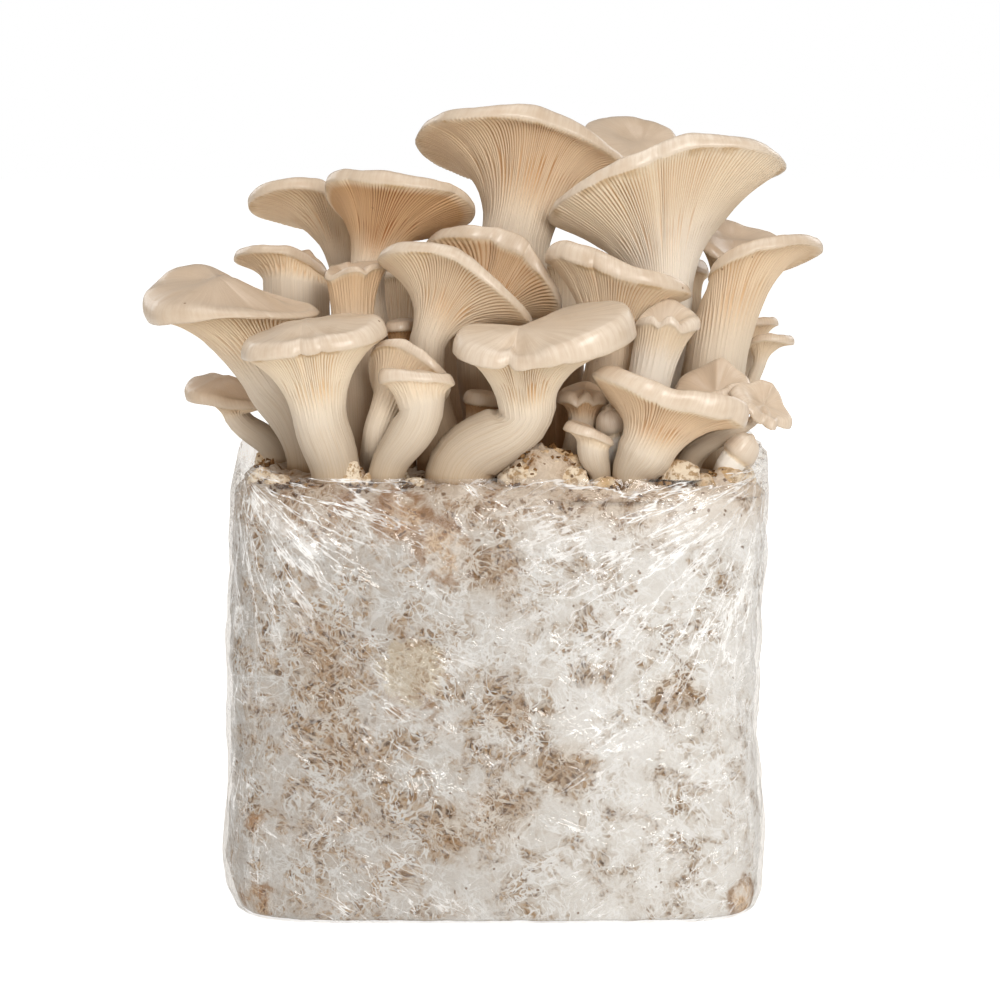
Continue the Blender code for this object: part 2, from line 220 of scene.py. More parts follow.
def specks(place, scale, radius, share):
    """Specks from the shared group: cells a metre, a speck's part of its cell, how many cells have one."""
    inputs = {"Place": place, "Scale": scale, "Radius": radius, "Share": share}
    return node("Group", inputs, node_tree=SPECK_GROUP).outputs["Speck"]


print("speck group:", len(tree.nodes), "nodes")

# %% [markdown]
# ## Light
# The key is low at the front right, so that it reaches the gills, a weaker one fills from the left, and two
# behind give the caps a light edge. Plain display colours keep the pale floor as pale as it is lit.

# %% Light
AIM = Vector((0, 0, 0.17))
LAMPS = {  # where it stands and how wide it is, in metres, its watts and its colour
    "key_lamp": ((0.50, -1.35, 0.85), 0.6, 12, (1.0, 0.98, 0.95)),
    "fill_lamp": ((-0.9, -1.3, 0.5), 1.0, 4, grey(1.0)),
    "top_lamp": ((0.0, -0.2, 1.5), 0.9, 4.5, grey(1.0)),
    "back_left_lamp": ((-1.0, 1.0, 0.8), 0.8, 4, grey(1.0)),
    "back_right_lamp": ((1.0, 1.0, 0.8), 0.8, 4, grey(1.0)),
}
for name, (spot, size, power, colour) in LAMPS.items():
    data = bpy.data.lights.new(name, "AREA")
    data.shape, data.size, data.energy, data.color = "SQUARE", size, power, colour
    lamp = place_in_scene(name, data)
    lamp.location = spot
    lamp.rotation_euler = (AIM - Vector(spot)).to_track_quat("-Z", "Y").to_euler()

world = bpy.data.worlds.new("pale_studio")
world.use_nodes = True
tree = world.node_tree
warm_light = tree.nodes["Background"]
feed(warm_light.inputs["Color"], (1.0, 0.94, 0.87))
feed(warm_light.inputs["Strength"], 0.33)
white = node("Background", {"Color": grey(1.0)})
directly = node("LightPath").outputs["Is Camera Ray"]
either = node("MixShader", {0: directly, 1: warm_light.outputs[0], 2: white.outputs[0]})
feed(tree.nodes["World Output"].inputs["Surface"], either.outputs[0])
bpy.context.scene.world = world
bpy.context.scene.view_settings.view_transform = "Standard"
print("lamps:", len(LAMPS))


# %% Floor
def add_mesh(name, points, faces):
    """A mesh object from points in millimetres."""
    mesh = bpy.data.meshes.new(name)
    mesh.from_pydata((np.asarray(points) * MM).tolist(), [], faces)
    return place_in_scene(name, mesh)


LEFT, RIGHT, NEAR, FAR = -6000, 6000, -4000, 8000
corners = [(LEFT, NEAR, 0), (RIGHT, NEAR, 0), (RIGHT, FAR, 0), (LEFT, FAR, 0)]
floor = add_mesh("studio_floor", corners, [(0, 1, 2, 3)])
floor_material, tree, surface, _ = new_material("pale_floor")
speckle = node("TexNoise", {"Scale": 40.0, "Detail": 2.0}).outputs["Fac"]
directly = node("LightPath").outputs["Is Camera Ray"]
finish_surface(
    Base_Color=mix(speckle, (0.90, 0.90, 0.895), (0.93, 0.93, 0.925)), Roughness=0.8,
    Emission_Color=grey(1.0), Emission_Strength=calc("MULTIPLY_ADD", directly, 0.62, 0.22),
)
floor.data.materials.append(floor_material)
print("floor ready")

# %% [markdown]
# ## Made-up roughness for shapes
# Nothing that grows is smooth. A lattice of fixed pseudo-random numbers, blended between its points, gives
# lumps of any size, and it gives the same lumps on every run because the numbers come from the cell's own
# place.


# %% Lumps from a lattice
def lattice(cells, seed):
    """A fixed number from -1 to 1 for each whole-numbered cell, mixed from its place by large odd numbers."""
    x, y, z = cells[..., 0], cells[..., 1], cells[..., 2]
    mixed = (x * 73856093) ^ (y * 19349663) ^ (z * 83492791) ^ (seed * 26544357)
    mixed = (mixed & 0x7FFFFFFF) * 1103515245 + 12345
    mixed = ((mixed >> 9) ^ mixed) & 0xFFFFFF
    return mixed / 0x7FFFFF - 1.0


def lumps(points, size, seed=0, layers=1):
    """Smooth noise from about -1 to 1 at points in millimetres, with lumps of the given size."""
    total = np.zeros(points.shape[:-1])
    for layer in range(layers):
        place = points / (size / 2**layer)
        cell = np.floor(place).astype(np.int64)
        inside = place - cell
        inside = inside * inside * (3 - 2 * inside)
        value = 0.0
        for corner in np.ndindex(2, 2, 2):
            step = np.array(corner)
            weight = np.prod(np.where(step == 1, inside, 1 - inside), axis=-1)
            value = value + weight * lattice(cell + step, seed + layer)
        total += value / 2**layer
    return total


def smooth(value, low, high):
    """0 below low, 1 above high, and a soft step between them."""
    share = np.clip((value - low) / (high - low), 0, 1)
    return share * share * (3 - 2 * share)


print("lumps check", round(float(lumps(np.array([[3.0, 4.0, 5.0]]), 10.0)[0]), 3))

# %% [markdown]
# ## From rings to a skin
# A stem, a cap, a block and a bag all can be made of rings of points, one above the other. The skin joins
# each ring to the next, and a single point closes it where it ends. Numbers that belong to each point, such
# as how deep it lies between two gills, are kept as named attributes, so that a material can read them.


# %% From rings to a skin
def ring_faces(count, around, first=0):
    """Faces between rings whose points begin at the first number, and the edges of each ring."""
    index = first + np.arange(count * around).reshape(count, around)
    edges = np.stack([index, np.roll(index, -1, axis=1)], axis=-1)
    return np.concatenate([edges[:-1], edges[1:, :, ::-1]], axis=-1).reshape(-1, 4).tolist(), edges


def tip_faces(edges, tip):
    """Triangles from the edges of one ring to the tip's number."""
    return np.concatenate([edges, np.full((len(edges), 1), tip)], axis=-1)


def skin(name, rings, first_tip=None, last_tip=None, values=None):
    """A smooth object through rings (ring, point, xyz) in millimetres, with one number or vector a point."""
    count, around = rings.shape[:2]
    points = [rings.reshape(-1, 3)]
    faces, edges = ring_faces(count, around)
    closed = []
    for tip, row, turn in ((first_tip, 0, -1), (last_tip, -1, 1)):
        if tip is not None:
            faces += tip_faces(edges[row], count * around + len(closed))[:, ::turn].tolist()
            points.append(np.asarray(tip, float)[None])
            closed.append(row)
    obj = add_mesh(name, np.concatenate(points), faces)
    for key, value in (values or {}).items():
        value = value.reshape(count, around, -1)
        flat = np.concatenate([*value, *(value[row].mean(0)[None] for row in closed)]).astype(np.float32)
        kind, field = ("FLOAT", "value") if flat.shape[1] == 1 else ("FLOAT_VECTOR", "vector")
        obj.data.attributes.new(key, kind, "POINT").data.foreach_set(field, flat.ravel())
    obj.data.shade_smooth()
    return obj


def dress(obj, material, replaced=None):
    obj.data.materials.append(material)
    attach(obj, "root")
    if replaced:
        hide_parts(replaced)


def triangles(obj):
    return sum(len(face.vertices) - 2 for face in obj.data.polygons)


print("skin helper ready")

# %% [markdown]
# ## The size of each mushroom
# An oyster mushroom is a stem that flares into a lopsided funnel. These rows say where each one stands, where
# its gills begin to flare, which way its cap leans, and how far the cap reaches and rises on its four sides.
# They are the same sizes that the CAD solids have, because a detailed mushroom has to fill the place of its
# solid.


# %% The size of each mushroom
@dataclass
class Mushroom:
    """One fruiting body, stem and cap in one piece. Lengths in millimetres, angles in degrees. What is given
    for the right, back, left and front is one number where all four are the same."""

    name: str
    foot: tuple  # x, y of the stem on the block
    foot_radius: float
    neck: tuple  # x, y, z where the gills begin to flare
    neck_radius: float
    lean: tuple  # how far the cap's axis leans to the right and to the back
    reach: tuple  # from the axis to the margin: right, back, left, front
    rise: tuple  # from the neck to the margin: right, back, left, front
    bell: float = 72.0  # how far the flare has turned outwards at the margin
    roll: tuple = (4, 4, 4, 4)  # half width of the margin: right, back, left, front
    band: tuple = (4, 4, 4, 4)  # half height of the margin: right, back, left, front
    dish: float = 5.0  # depth of the hollow in the cap, negative for a dome
    lobes: tuple = (3, 0.03, 0.0)  # waves round the margin, their share of the reach, where they start

    def __post_init__(self):
        for name in ("reach", "rise", "roll", "band"):
            setattr(self, name, np.broadcast_to(getattr(self, name), 4))


MUSHROOMS = (
    # the tall ones at the back of the cluster
    Mushroom("crown_left", (9, 33), 13.5, (5.5, 31, 257), 14, (15, 18), (38.5, 32.5, 51.5, 29.5),
        (38, 36, 32.5, 44.5), bell=93, roll=(3, 4, 2.5, 4), band=(2.5, 5.5, 2.5, 4.5), dish=8),
    Mushroom("crown_right", (56, 18), 12, (66, 14, 234.5), 10.5, (-1, 9), (47.5, 22.5, 47.5, 30.5),
        (53.5, 41, 34.5, 56.5), bell=29, roll=(6, 4.5, 2.5, 2.5), band=(2.5, 6, 2.5, 4), dish=8),
    Mushroom("crown_back", (43, 50), 8, (61, 55, 269), 6.5, (-8, -4), (15, 18, 24, 16), (25.5, 33.5, 33, 19),
        bell=80, roll=2.5, band=2.5, dish=3),
    Mushroom("upper_left", (-44, 8), 8, (-53, 6, 245.5), 7, (12, 23), (36, 20, 24.5, 24.5),
        (34, 24.5, 32, 31.5), bell=64, roll=(2.5, 4, 2.5, 2.5), band=(2.5, 4.5, 3, 3.5), dish=5),
    Mushroom("upper_far_left", (-60, 38), 7.5, (-65, 43.5, 244.5), 5, (-9, 12), (9, 20, 35, 14.5),
        (11.5, 20.5, 33, 30.5), bell=79, roll=(4, 4, 2.5, 4), band=(4, 4, 2.5, 3.5), dish=3),
    # the middle of the cluster
    Mushroom("left_large", (-75.5, -12), 8.5, (-88.5, -6, 208.5), 14.5, (-32, -7), (26.5, 15.5, 31.5, 27.5),
        (12, 37.5, 47.5, 32.5), bell=73, roll=(2.5, 3.5, 5.5, 6), band=(2.5, 6.5, 5, 3), dish=-7.5),
    Mushroom("left_low", (-89, 12), 6, (-105.5, 12, 188), 5, (-22, 0), (18, 12, 17, 13), (2, 14, 16.5, 6.5),
        bell=86, roll=(2, 2.5, 3, 2.5), band=(2.5, 3, 3, 2.5), dish=-5.5),
    Mushroom("left_mid", (-74, 21), 8, (-82.5, 23, 238.5), 13.5, (7, 17), (11.5, 15.5, 27, 13),
        (8, 13, 10.5, 11), bell=69, roll=(3.5, 4, 2.5, 3), band=(3, 5, 2.5, 2.5), dish=3),
    Mushroom("left_small", (-55, -16), 7, (-57.5, -13.5, 224), 8, (-4, 8), (14, 9, 10, 11),
        (25, 26, 24, 23.5), bell=48, roll=(1.5, 2, 1.5, 1.5), band=(1.5, 2, 2, 1.5), dish=4,
        lobes=(5, 0.07, 20)),
    Mushroom("centre", (-24, -12), 9, (-28.5, -26, 221), 7, (21, 16), (34, 14, 30, 20), (21, 29.5, 25, 32),
        bell=82, roll=(2.5, 4, 2.5, 3), band=(2.5, 5, 3, 3), dish=5),
    Mushroom("centre_back", (-6, 4), 8, (-8, 3, 226.5), 8.5, (26, 14), (26, 8, 34.5, 14.5),
        (18, 12, 18.5, 31.5), bell=70, roll=(3.5, 4, 2.5, 2.5), band=(2.5, 5, 3.5, 4), dish=4),
    Mushroom("centre_right", (34, -6), 9, (43, -12, 213), 9.5, (-1, 10), (31, 10, 25.5, 19.5),
        (25.5, 30, 41.5, 34), bell=65, roll=(3, 4, 5, 3), band=(2.5, 4, 4, 4.5), dish=5),
    Mushroom("right_folded", (53, -20), 8, (57.5, -27.5, 207), 8.5, (12, 5), (14.5, 8.5, 10.5, 10.5),
        (25, 30, 20.5, 24), bell=46, roll=(2.5, 2, 1.5, 1.5), band=(2.5, 2, 2, 2), dish=7),
    Mushroom("right_large", (80, -2), 11, (85, -2, 212), 12, (10, 18), (34, 20.5, 6.5, 23),
        (52, 37.5, 30.5, 37.5), bell=90, roll=(3.5, 4.5, 2.5, 2.5), band=(2.5, 5, 2.5, 3.5), dish=6),
    Mushroom("right_back", (84, 40), 8, (94.5, 48, 236.5), 8, (1, 0), (20.5, 14, 23.5, 14),
        (18.5, 24, 27, 11), bell=78, roll=2.5, band=2.5, dish=2.5),
    Mushroom("right_twin_upper", (90, 25), 5, (99.5, 25, 211.5), 5.5, (6, 4), (11, 8, 9, 8),
        (14, 10.5, 10.5, 13), bell=74, roll=2, band=(1.8, 2, 1.8, 1.8), dish=2),
    Mushroom("right_twin_lower", (86.5, 12), 4, (103, 11.5, 208.5), 2.5, (12, 3), (11.5, 8, 6.5, 8),
        (12, 10.5, 8, 11.5), bell=67, roll=2, band=(1.8, 2, 1.8, 1.8), dish=2),
    Mushroom("centre_small", (-38, -8), 4.5, (-39.5, -10, 217), 4, (-4, 0), (7, 8, 5.5, 8), 9, bell=76,
        roll=2, band=2, dish=-1),
    Mushroom("centre_shaded", (-8, -22), 5, (-9, -24, 190), 5, (8, 0), (9, 7, 7, 9), 9, bell=80, roll=2,
        band=2.5, dish=-1),
    # the front row
    Mushroom("front_left", (-63, -46), 9.5, (-69, -46, 193.5), 10.5, (-9, -3), (29.5, 17, 26.5, 18),
        (30.5, 32, 30.5, 29.5), bell=61, roll=(4, 4, 4.5, 4), band=(4.5, 5, 4, 3.5), dish=-3.5),
    Mushroom("front_pair_back", (-48, -32), 6.5, (-47, -41, 189.5), 5.5, (21, 10), (20, 7, 13.5, 8),
        (22.5, 7, 25, 32.5), bell=71, roll=(2, 3.5, 2, 2), band=(2, 3, 2, 2.5), dish=2),
    Mushroom("front_pair_front", (-44, -50), 7, (-30, -51.5, 199.5), 9, (-14, 3), (13.5, 5.5, 14, 12),
        (6, 6.5, 13.5, 11.5), bell=86, roll=(2, 2.5, 2.5, 2), band=(2.5, 2.5, 3, 2.5), dish=-2),
    Mushroom("front_centre", (-16.5, -44), 13, (10, -46, 197), 11, (-5, -13), (42.5, 21.5, 27.5, 20.5),
        (31, 22.5, 28.5, 24.5), bell=63, roll=(4, 3.5, 6, 4.5), band=(6.5, 5, 5, 3), dish=-2),
    Mushroom("front_baby", (38, -47), 4, (35, -48, 182.5), 6, (11, 2), (7, 6, 13, 9), (3.5, 4, 6.5, 5.5),
        bell=84, roll=(2, 2.5, 2.5, 2), band=(2, 3, 2.5, 2), dish=0),
    Mushroom("front_baby_back", (27.5, -30), 5.5, (31.5, -31, 191.5), 5.5, (4, 4), (9.5, 9, 11, 8),
        (8.5, 11.5, 8, 9), bell=80, roll=2.5, band=2.5, dish=0),
    Mushroom("front_bud", (43, -33), 4, (43.5, -35, 184), 5, (-10, -6), 6, 7, bell=30, band=4.5, dish=-2),
    Mushroom("front_right", (49.5, -48), 7, (55.5, -48, 181.5), 11, (27, 0), (28, 12, 33, 19),
        (27, 5, 18, 23), bell=65, roll=(4, 4, 4, 2.5), band=(4.5, 3, 3, 4.5), dish=3.5),
    Mushroom("front_right_lobed", (72, -20), 6, (83, -24, 190.5), 6, (4, 4), (12.5, 8, 19, 9),
        (15, 21.5, 9.5, 8.5), bell=74, roll=2.5, band=2.5, dish=6, lobes=(5, 0.08, 30)),
    Mushroom("front_right_frilly", (71, -32), 4.5, (100, -32.5, 194), 2, (25, 0), (12, 7.5, 13, 9),
        (1.5, 9.5, 4, -1.5), bell=84, roll=2.5, band=2.5, dish=2, lobes=(6, 0.1, 0)),
    Mushroom("right_bud", (85.5, -38), 4.5, (89, -38.5, 176.5), 5.5, (38, 0), 7, 6, bell=30, band=5, dish=-2),
    # the ones that only the back and the sides show
    Mushroom("back_left", (-40, 46), 8, (-42, 50, 216), 8, (-4, 14), (22, 22, 16, 14), 26, bell=78, roll=3,
        band=4, dish=2),
    Mushroom("back_centre", (-18.5, 51), 8.5, (-18.5, 55, 206), 8.5, (0, 12), (32, 20, 11, 13), 27, bell=78,
        roll=3, band=4, dish=3),
    Mushroom("back_right", (70, 52), 6.5, (75, 56, 221), 7.5, (0, 14), (9.5, 20, 10, 11), 24, bell=80, roll=3,
        band=3.5, dish=0),
    Mushroom("back_small_left", (-86, 40), 6, (-99, 41, 204), 6.5, (-8, -4), (9, 15, 21, 12), 18, bell=80,
        roll=2.5, band=3, dish=0),
    Mushroom("back_small_right", (27.5, 54), 7, (27, 58, 228), 7.5, (0, 14), (12, 14, 13, 10), 18, bell=82,
        roll=2, band=3, dish=1),
)

STEM_FOOT = 169.3
print("mushrooms:", len(MUSHROOMS))

# %% [markdown]
# ## Stem and cap
# The stem follows a bent curve from its foot to its neck, where the cap's own axis begins. Everything on the
# cap is a ring that lies a certain way across from that axis and up from the neck, and the four-sided sizes
# blend smoothly into each other round it.


# %% Stem and cap
FOOT_PULL, NECK_PULL = 0.4, 0.35  # how firmly a stem keeps to its direction at either end


def unit(vector):
    return vector / np.linalg.norm(vector)


def across_axis(axis, angle):
    """Directions straight out from an axis, one for each angle: 0 is to the right, 90 degrees to the back."""
    right = unit(np.array([1.0, 0.0, 0.0]) - axis[0] * axis)
    return np.outer(np.cos(angle), right) + np.outer(np.sin(angle), np.cross(axis, right))


def cap_axis(m):
    right, back = (math.tan(math.radians(angle)) for angle in m.lean)
    return unit(np.array([right, back, 1.0]))


def round_the_cap(values, angle):
    """A smooth value round the cap through its right, back, left and front values."""
    right, back, left, front = values
    sideways = (right - left) / 2 * np.cos(angle) + (back - front) / 2 * np.sin(angle)
    oval = (right + left - back - front) / 4 * np.cos(2 * angle)
    return (right + back + left + front) / 4 + sideways + oval


def stem_ring(m, t, angle):
    """The ring at share t of the stem, which bends from upright at its foot to the cap's axis at its neck."""
    axis = cap_axis(m)
    foot, neck = np.array([*m.foot, STEM_FOOT]), np.array(m.neck, float)
    length = np.linalg.norm(neck - foot)
    above_foot = foot + np.array([0, 0, FOOT_PULL * length])
    below_neck = neck - NECK_PULL * length * unit(axis + unit(neck - foot))
    points = (foot, above_foot, below_neck, neck)
    weights = ((1 - t) ** 3, 3 * t * (1 - t) ** 2, 3 * t * t * (1 - t), t**3)
    centre = sum(w * p for w, p in zip(weights, points))
    slopes = (3 * (1 - t) ** 2, 6 * t * (1 - t), 3 * t * t)
    along = unit(sum(w * (q - p) for w, p, q in zip(slopes, points, points[1:])))
    upright = unit((1 - t) * np.array([0.0, 0.0, 1.0]) + t * axis)
    bend = 4 * t * (1 - t)
    radius = m.neck_radius + (m.foot_radius - m.neck_radius) * (0.5 + 0.5 * math.cos(math.pi * t))
    return centre + radius * across_axis(unit((1 - bend) * upright + bend * along), angle)


def cap_ring(m, across, up, angle):
    """The ring that lies across from the cap's axis and up from its neck."""
    axis = cap_axis(m)
    return np.array(m.neck, float) + across[:, None] * across_axis(axis, angle) + np.outer(up, axis)


neck = stem_ring(MUSHROOMS[0], 1.0, np.zeros(1)).round(1)
print(MUSHROOMS[0].name, "at the right of its neck:", neck.tolist())

# %% [markdown]
# ## The margin
# The edge of the cap is thin, waves a little, and is nicked or sags in places. It goes round from the gills
# below to the smooth side above, where the cap dips towards its middle, and each nick runs on a little way
# into that side.

# %% The margin
JOIN = math.radians(-48)  # where the gills meet the margin, as an angle round it
EDGE = math.radians(-34)  # where the margin is sharpest, and the smooth upper side begins
CREST = math.radians(90)
REACH_WAVES, RISE_WAVES = 0.008, 0.011  # how far the margin wavers outwards and upwards, against its reach
PLUMPNESS, PLUMP_WAVES = 1.08, 0.07  # how thick the margin is against its row, and how far that wavers
NICKS = {  # tears: where round the cap, how wide in degrees, how deep, negative where the lip sags
    "front_left": ((264, 5, 2.2), (290, 4, 1.2)),
    "front_centre": ((253, 6, 4.5), (305, 4, 1.0)),
    "centre_back": ((240, 7, 4.0), (292, 6, 3.0)),
    "crown_right": ((262, 4, 2.0), (230, 5, 1.2), (200, 6, 1.5)),
    "crown_left": ((205, 5, 1.5), (330, 6, 1.0)),
    "centre_right": ((250, 4, 1.5), (215, 5, 1.2)),
    "right_large": ((290, 6, 1.5),),
    "left_large": ((300, 5, 1.2),),
    "front_right": ((330, 6, 2.0), (250, 5, 1.0)),
    "front_right_lobed": ((262, 16, 3.0), (320, 9, 2.0)),
    "front_right_frilly": ((240, 12, 2.0), (285, 10, 2.5), (330, 12, 2.5)),
    "left_small": ((225, 25, -2.5), (303, 10, -2.0)),
    "front_baby_back": ((250, 14, -2.5), (300, 10, -1.5)),
    "right_folded": ((262, 14, -3.0), (310, 20, -3.5)),
    "upper_left": ((330, 5, 1.5), (235, 5, 1.0)),
    "back_left": ((80, 6, 2.5),),
    "back_centre": ((110, 5, 2.0),),
}


def edge_waves(seed, angle, waves):
    """Small irregular waves round a margin, from about -1 to 1."""
    starts = [3.1 * lattice(np.array([[wave, seed, 1]]), 7)[0] for wave in waves]
    return sum(np.cos(wave * angle + start) / math.sqrt(wave) for wave, start in zip(waves, starts))


def from_nick(angle, where, width):
    """How far round each angle lies from the nick, in widths of it."""
    return np.angle(np.exp(1j * (angle - math.radians(where)))) / math.radians(width)


def margin(m, angle, seed):
    """The margin's middle across and up, and its half width and half height, at each angle."""
    waves, share, start = m.lobes
    size = float(np.mean(m.reach))
    reach = round_the_cap(m.reach, angle) * (1 + share * np.cos(waves * angle + math.radians(start)))
    reach = reach + REACH_WAVES * size * edge_waves(seed, angle, (3, 5, 7, 9))
    rise = round_the_cap(m.rise, angle) + RISE_WAVES * size * edge_waves(seed + 40, angle, (3, 4, 6, 8))
    plump = PLUMPNESS + PLUMP_WAVES * edge_waves(seed + 80, angle, (4, 7, 10))
    roll = round_the_cap(m.roll, angle) * plump
    band = round_the_cap(m.band, angle) * plump
    for where, width, depth in NICKS.get(m.name, ()):
        cut = np.exp(-np.abs(from_nick(angle, where, width)) ** 1.5)
        reach = reach - 0.5 * max(depth, 0) * cut
        rise = rise + (0.35 if depth > 0 else 1.0) * depth * cut
        band = band * (1 - 0.1 * cut)
    return reach - roll, rise, roll, band


def bell_ring(m, t, angle, edge):
    """The gilled underside at share t from the neck to the margin."""
    across, up, roll, band = edge
    end_across, end_up = across + roll * math.cos(JOIN), up + band * math.sin(JOIN)
    turn, last = math.radians(m.bell) * t, math.radians(m.bell)
    reach = m.neck_radius + (end_across - m.neck_radius) * ((1 - math.cos(turn)) / (1 - math.cos(last)))
    return cap_ring(m, reach, end_up * math.sin(turn) / math.sin(last), angle)


def rim_ring(m, turn, angle, edge):
    """A ring round the margin, from its sharp edge low on the outside to its crest."""
    across, up, roll, band = edge
    share = (turn - EDGE) / (CREST - EDGE) * CREST
    height = math.sin(EDGE) + (1 - math.sin(EDGE)) * math.sin(share)
    return cap_ring(m, across + roll * math.cos(share), up + band * height, angle)


def top_ring(m, t, angle, edge):
    """The cap's upper side at share t from the crest of the margin to its middle."""
    across, up, _, band = edge
    centre = float(np.mean(m.rise) + np.mean(m.band)) - m.dish
    blend = t * t * (3 - 2 * t)
    height = (up + band) * (1 - blend) + centre * blend
    for where, width, depth in NICKS.get(m.name, ()):
        valley = np.exp(-(from_nick(angle, where, 2.2 * width) ** 2)) * math.sin(math.pi * t) ** 0.5 * (1 - t)
        height = height - 0.25 * max(depth, 0) * valley
    return cap_ring(m, across * (1 - t), height, angle)


print("margins with nicks:", len(NICKS))

# %% [markdown]
# ## Gills
# Gills are thin blades that run from the margin down to the stem. Long ones reach the stem, and shorter ones
# start between them where the bell widens, so that the gaps stay about a millimetre everywhere. Here each
# blade has two points at its edge and one in the groove beside it. The groove is pressed inwards, and blades
# that haven't begun yet are pressed in with it.

# %% Gills
GILL_GAP = 1.25  # millimetres between gills near the margin
GILL_DEPTH = 1.5
GILL_HALF = 0.2  # half the width of a gill's edge, against the room it has
GILL_SHAKE = 0.11  # how far gills stray from even places, against the same room
FULL_DEPTH_REACH = 28  # smaller caps have shallower gills
LONG, HALF, SHORT = -0.75, 0.12, 0.45  # where a gill begins: 0 is the neck and 1 the margin


def gill_angles(m):
    """Angles for each gill's two edge points and its groove, and the gill that each point belongs to."""
    girth = 2 * math.pi * 0.88 * float(np.mean(m.reach))
    count = 4 * max(8, round(girth / GILL_GAP / 4))
    gill = np.arange(count)
    shake = GILL_SHAKE * lattice(np.stack([gill, gill * 0 + 3, gill * 0 + 5], -1), len(m.name))
    step = 2 * math.pi / count
    middle = (gill + shake) * 2 * math.pi / count
    angle = np.stack([middle - GILL_HALF * step, middle + GILL_HALF * step, middle + 0.5 * step], -1).ravel()
    return angle, np.repeat(gill, 3), np.tile([0, 0, 1], count)


def gill_press(along, gill, groove):
    """How far each point is pressed in, 0 to 1, at a place along the bell."""
    begins = np.select([gill % 4 == 0, gill % 4 == 2], [LONG, HALF], SHORT)
    begins = begins + 0.12 * lattice(np.stack([gill, gill * 0, gill * 0 + 9], -1), 3)
    grown = smooth(along, begins - 0.12, begins + 0.14)
    return np.where(groove == 1, 1.0, 1.0 - grown)


def gill_depth(m, along):
    """How deep the grooves are along the bell. They fade on the stem and run out at the margin."""
    depth = 0.10 * smooth(along, -0.9, -0.1) + 0.90 * smooth(along, 0.0, 0.55)
    depth = depth - 0.6 * smooth(along, 0.90, 1.0)
    return depth * GILL_DEPTH * min(1.0, float(np.mean(m.reach)) / FULL_DEPTH_REACH)


print("gills of", MUSHROOMS[0].name + ":", gill_angles(MUSHROOMS[0])[1].max() + 1)

# %% [markdown]
# ## Growing the mushrooms
# The rings of stem, bell, margin and upper side make one skin. It is pressed in between the gills and made a
# little uneven. What the material needs is kept with each point: the zone (0 to 1 stem, to 2 gills, to 3
# margin, to 4 upper side), how deep it lies in a groove, how far it lies inside the cluster, where shade is
# painted, how tan it is, and how much painted shade darkens its gills amber.

# %% Growing the mushrooms
# Below 0 a cap's neck is painted nearly white, painted light.
TAN = {  # how tan each cap is: 0 is cream, 1 is a pinkish tan, below 0 it is nearly white round the neck
    "left_large": 0.75, "left_mid": 0.85, "left_low": 0.9, "upper_far_left": 0.8, "upper_left": 0.7,
    "crown_left": 0.55, "crown_right": -0.3, "crown_back": 0.6, "centre": 0.45, "centre_back": 0.5,
    "centre_right": 0.45, "right_large": 0.6, "right_back": 0.7, "front_left": 0.35, "front_centre": 0.3,
    "front_pair_back": 0.35, "front_pair_front": 0.3, "left_small": 0.9, "right_folded": -0.3,
    "front_bud": -0.6, "right_bud": -0.4, "front_baby": 0.3, "front_baby_back": 0.7,
}
# The gills' amber is painted shade: it darkens their grooves and the whole underside, by each cap's share.
GILL_SHADE = {  # how amber the gills are under each cap
    "upper_left": 1.0, "crown_left": 0.4, "crown_right": 0.15, "centre": 0.25, "centre_back": 0.6,
    "right_large": 0.3, "left_small": 0.5, "front_left": 0.0, "front_centre": 0.1, "front_right": 0.6,
    "left_large": 0.1, "centre_shaded": 1.0, "centre_small": 1.0, "front_baby_back": 0.7,
    "front_right_lobed": 0.6,
}
USUAL_TAN, USUAL_GILL_SHADE = 0.4, 0.2
GRAIN_REACH = 22  # how far round the grain's coordinates go, against 1 along each zone
BIG_REACH = 24  # a cap that reaches further than this gets more rings
STEM_ALONG = 1.3  # how much of the bell's length the whole stem counts for, where gills fade on it
SWELLING, FINE_SWELLING = 12.0, 2.2  # the size of the uneven lumps of the skin, in millimetres


def outward_normals(rings):
    """Directions out of the skin at each point of the rings."""
    round_way = np.roll(rings, -3, axis=1) - np.roll(rings, 3, axis=1)
    normal = np.cross(round_way, np.gradient(rings, axis=0))
    return normal / np.maximum(np.linalg.norm(normal, axis=-1, keepdims=True), 1e-9)


def smooth_rings(m, angle, edge):
    """The rings before the gills are pressed in, their zones, and their places along the bell."""
    big = max(m.reach) > BIG_REACH
    stem_steps = np.linspace(0, 1, 12 if big else 9)[:-1]
    bell_steps = np.linspace(0, 1, 18 if big else 12)
    rim_steps = np.linspace(EDGE, CREST, 9 if big else 7)
    top_steps = np.linspace(0, 1, 8 if big else 6)[1:-1]
    rings = [stem_ring(m, t, angle) for t in stem_steps]
    for shape, steps in ((bell_ring, bell_steps), (rim_ring, rim_steps), (top_ring, top_steps)):
        rings += [shape(m, step, angle, edge) for step in steps]
    rim_zones = 2 + (rim_steps - JOIN) / (CREST - JOIN)
    zones = np.concatenate([stem_steps, 1 + bell_steps, rim_zones, 3 + top_steps])
    return np.array(rings), zones, np.concatenate([(stem_steps - 1) * STEM_ALONG, bell_steps])


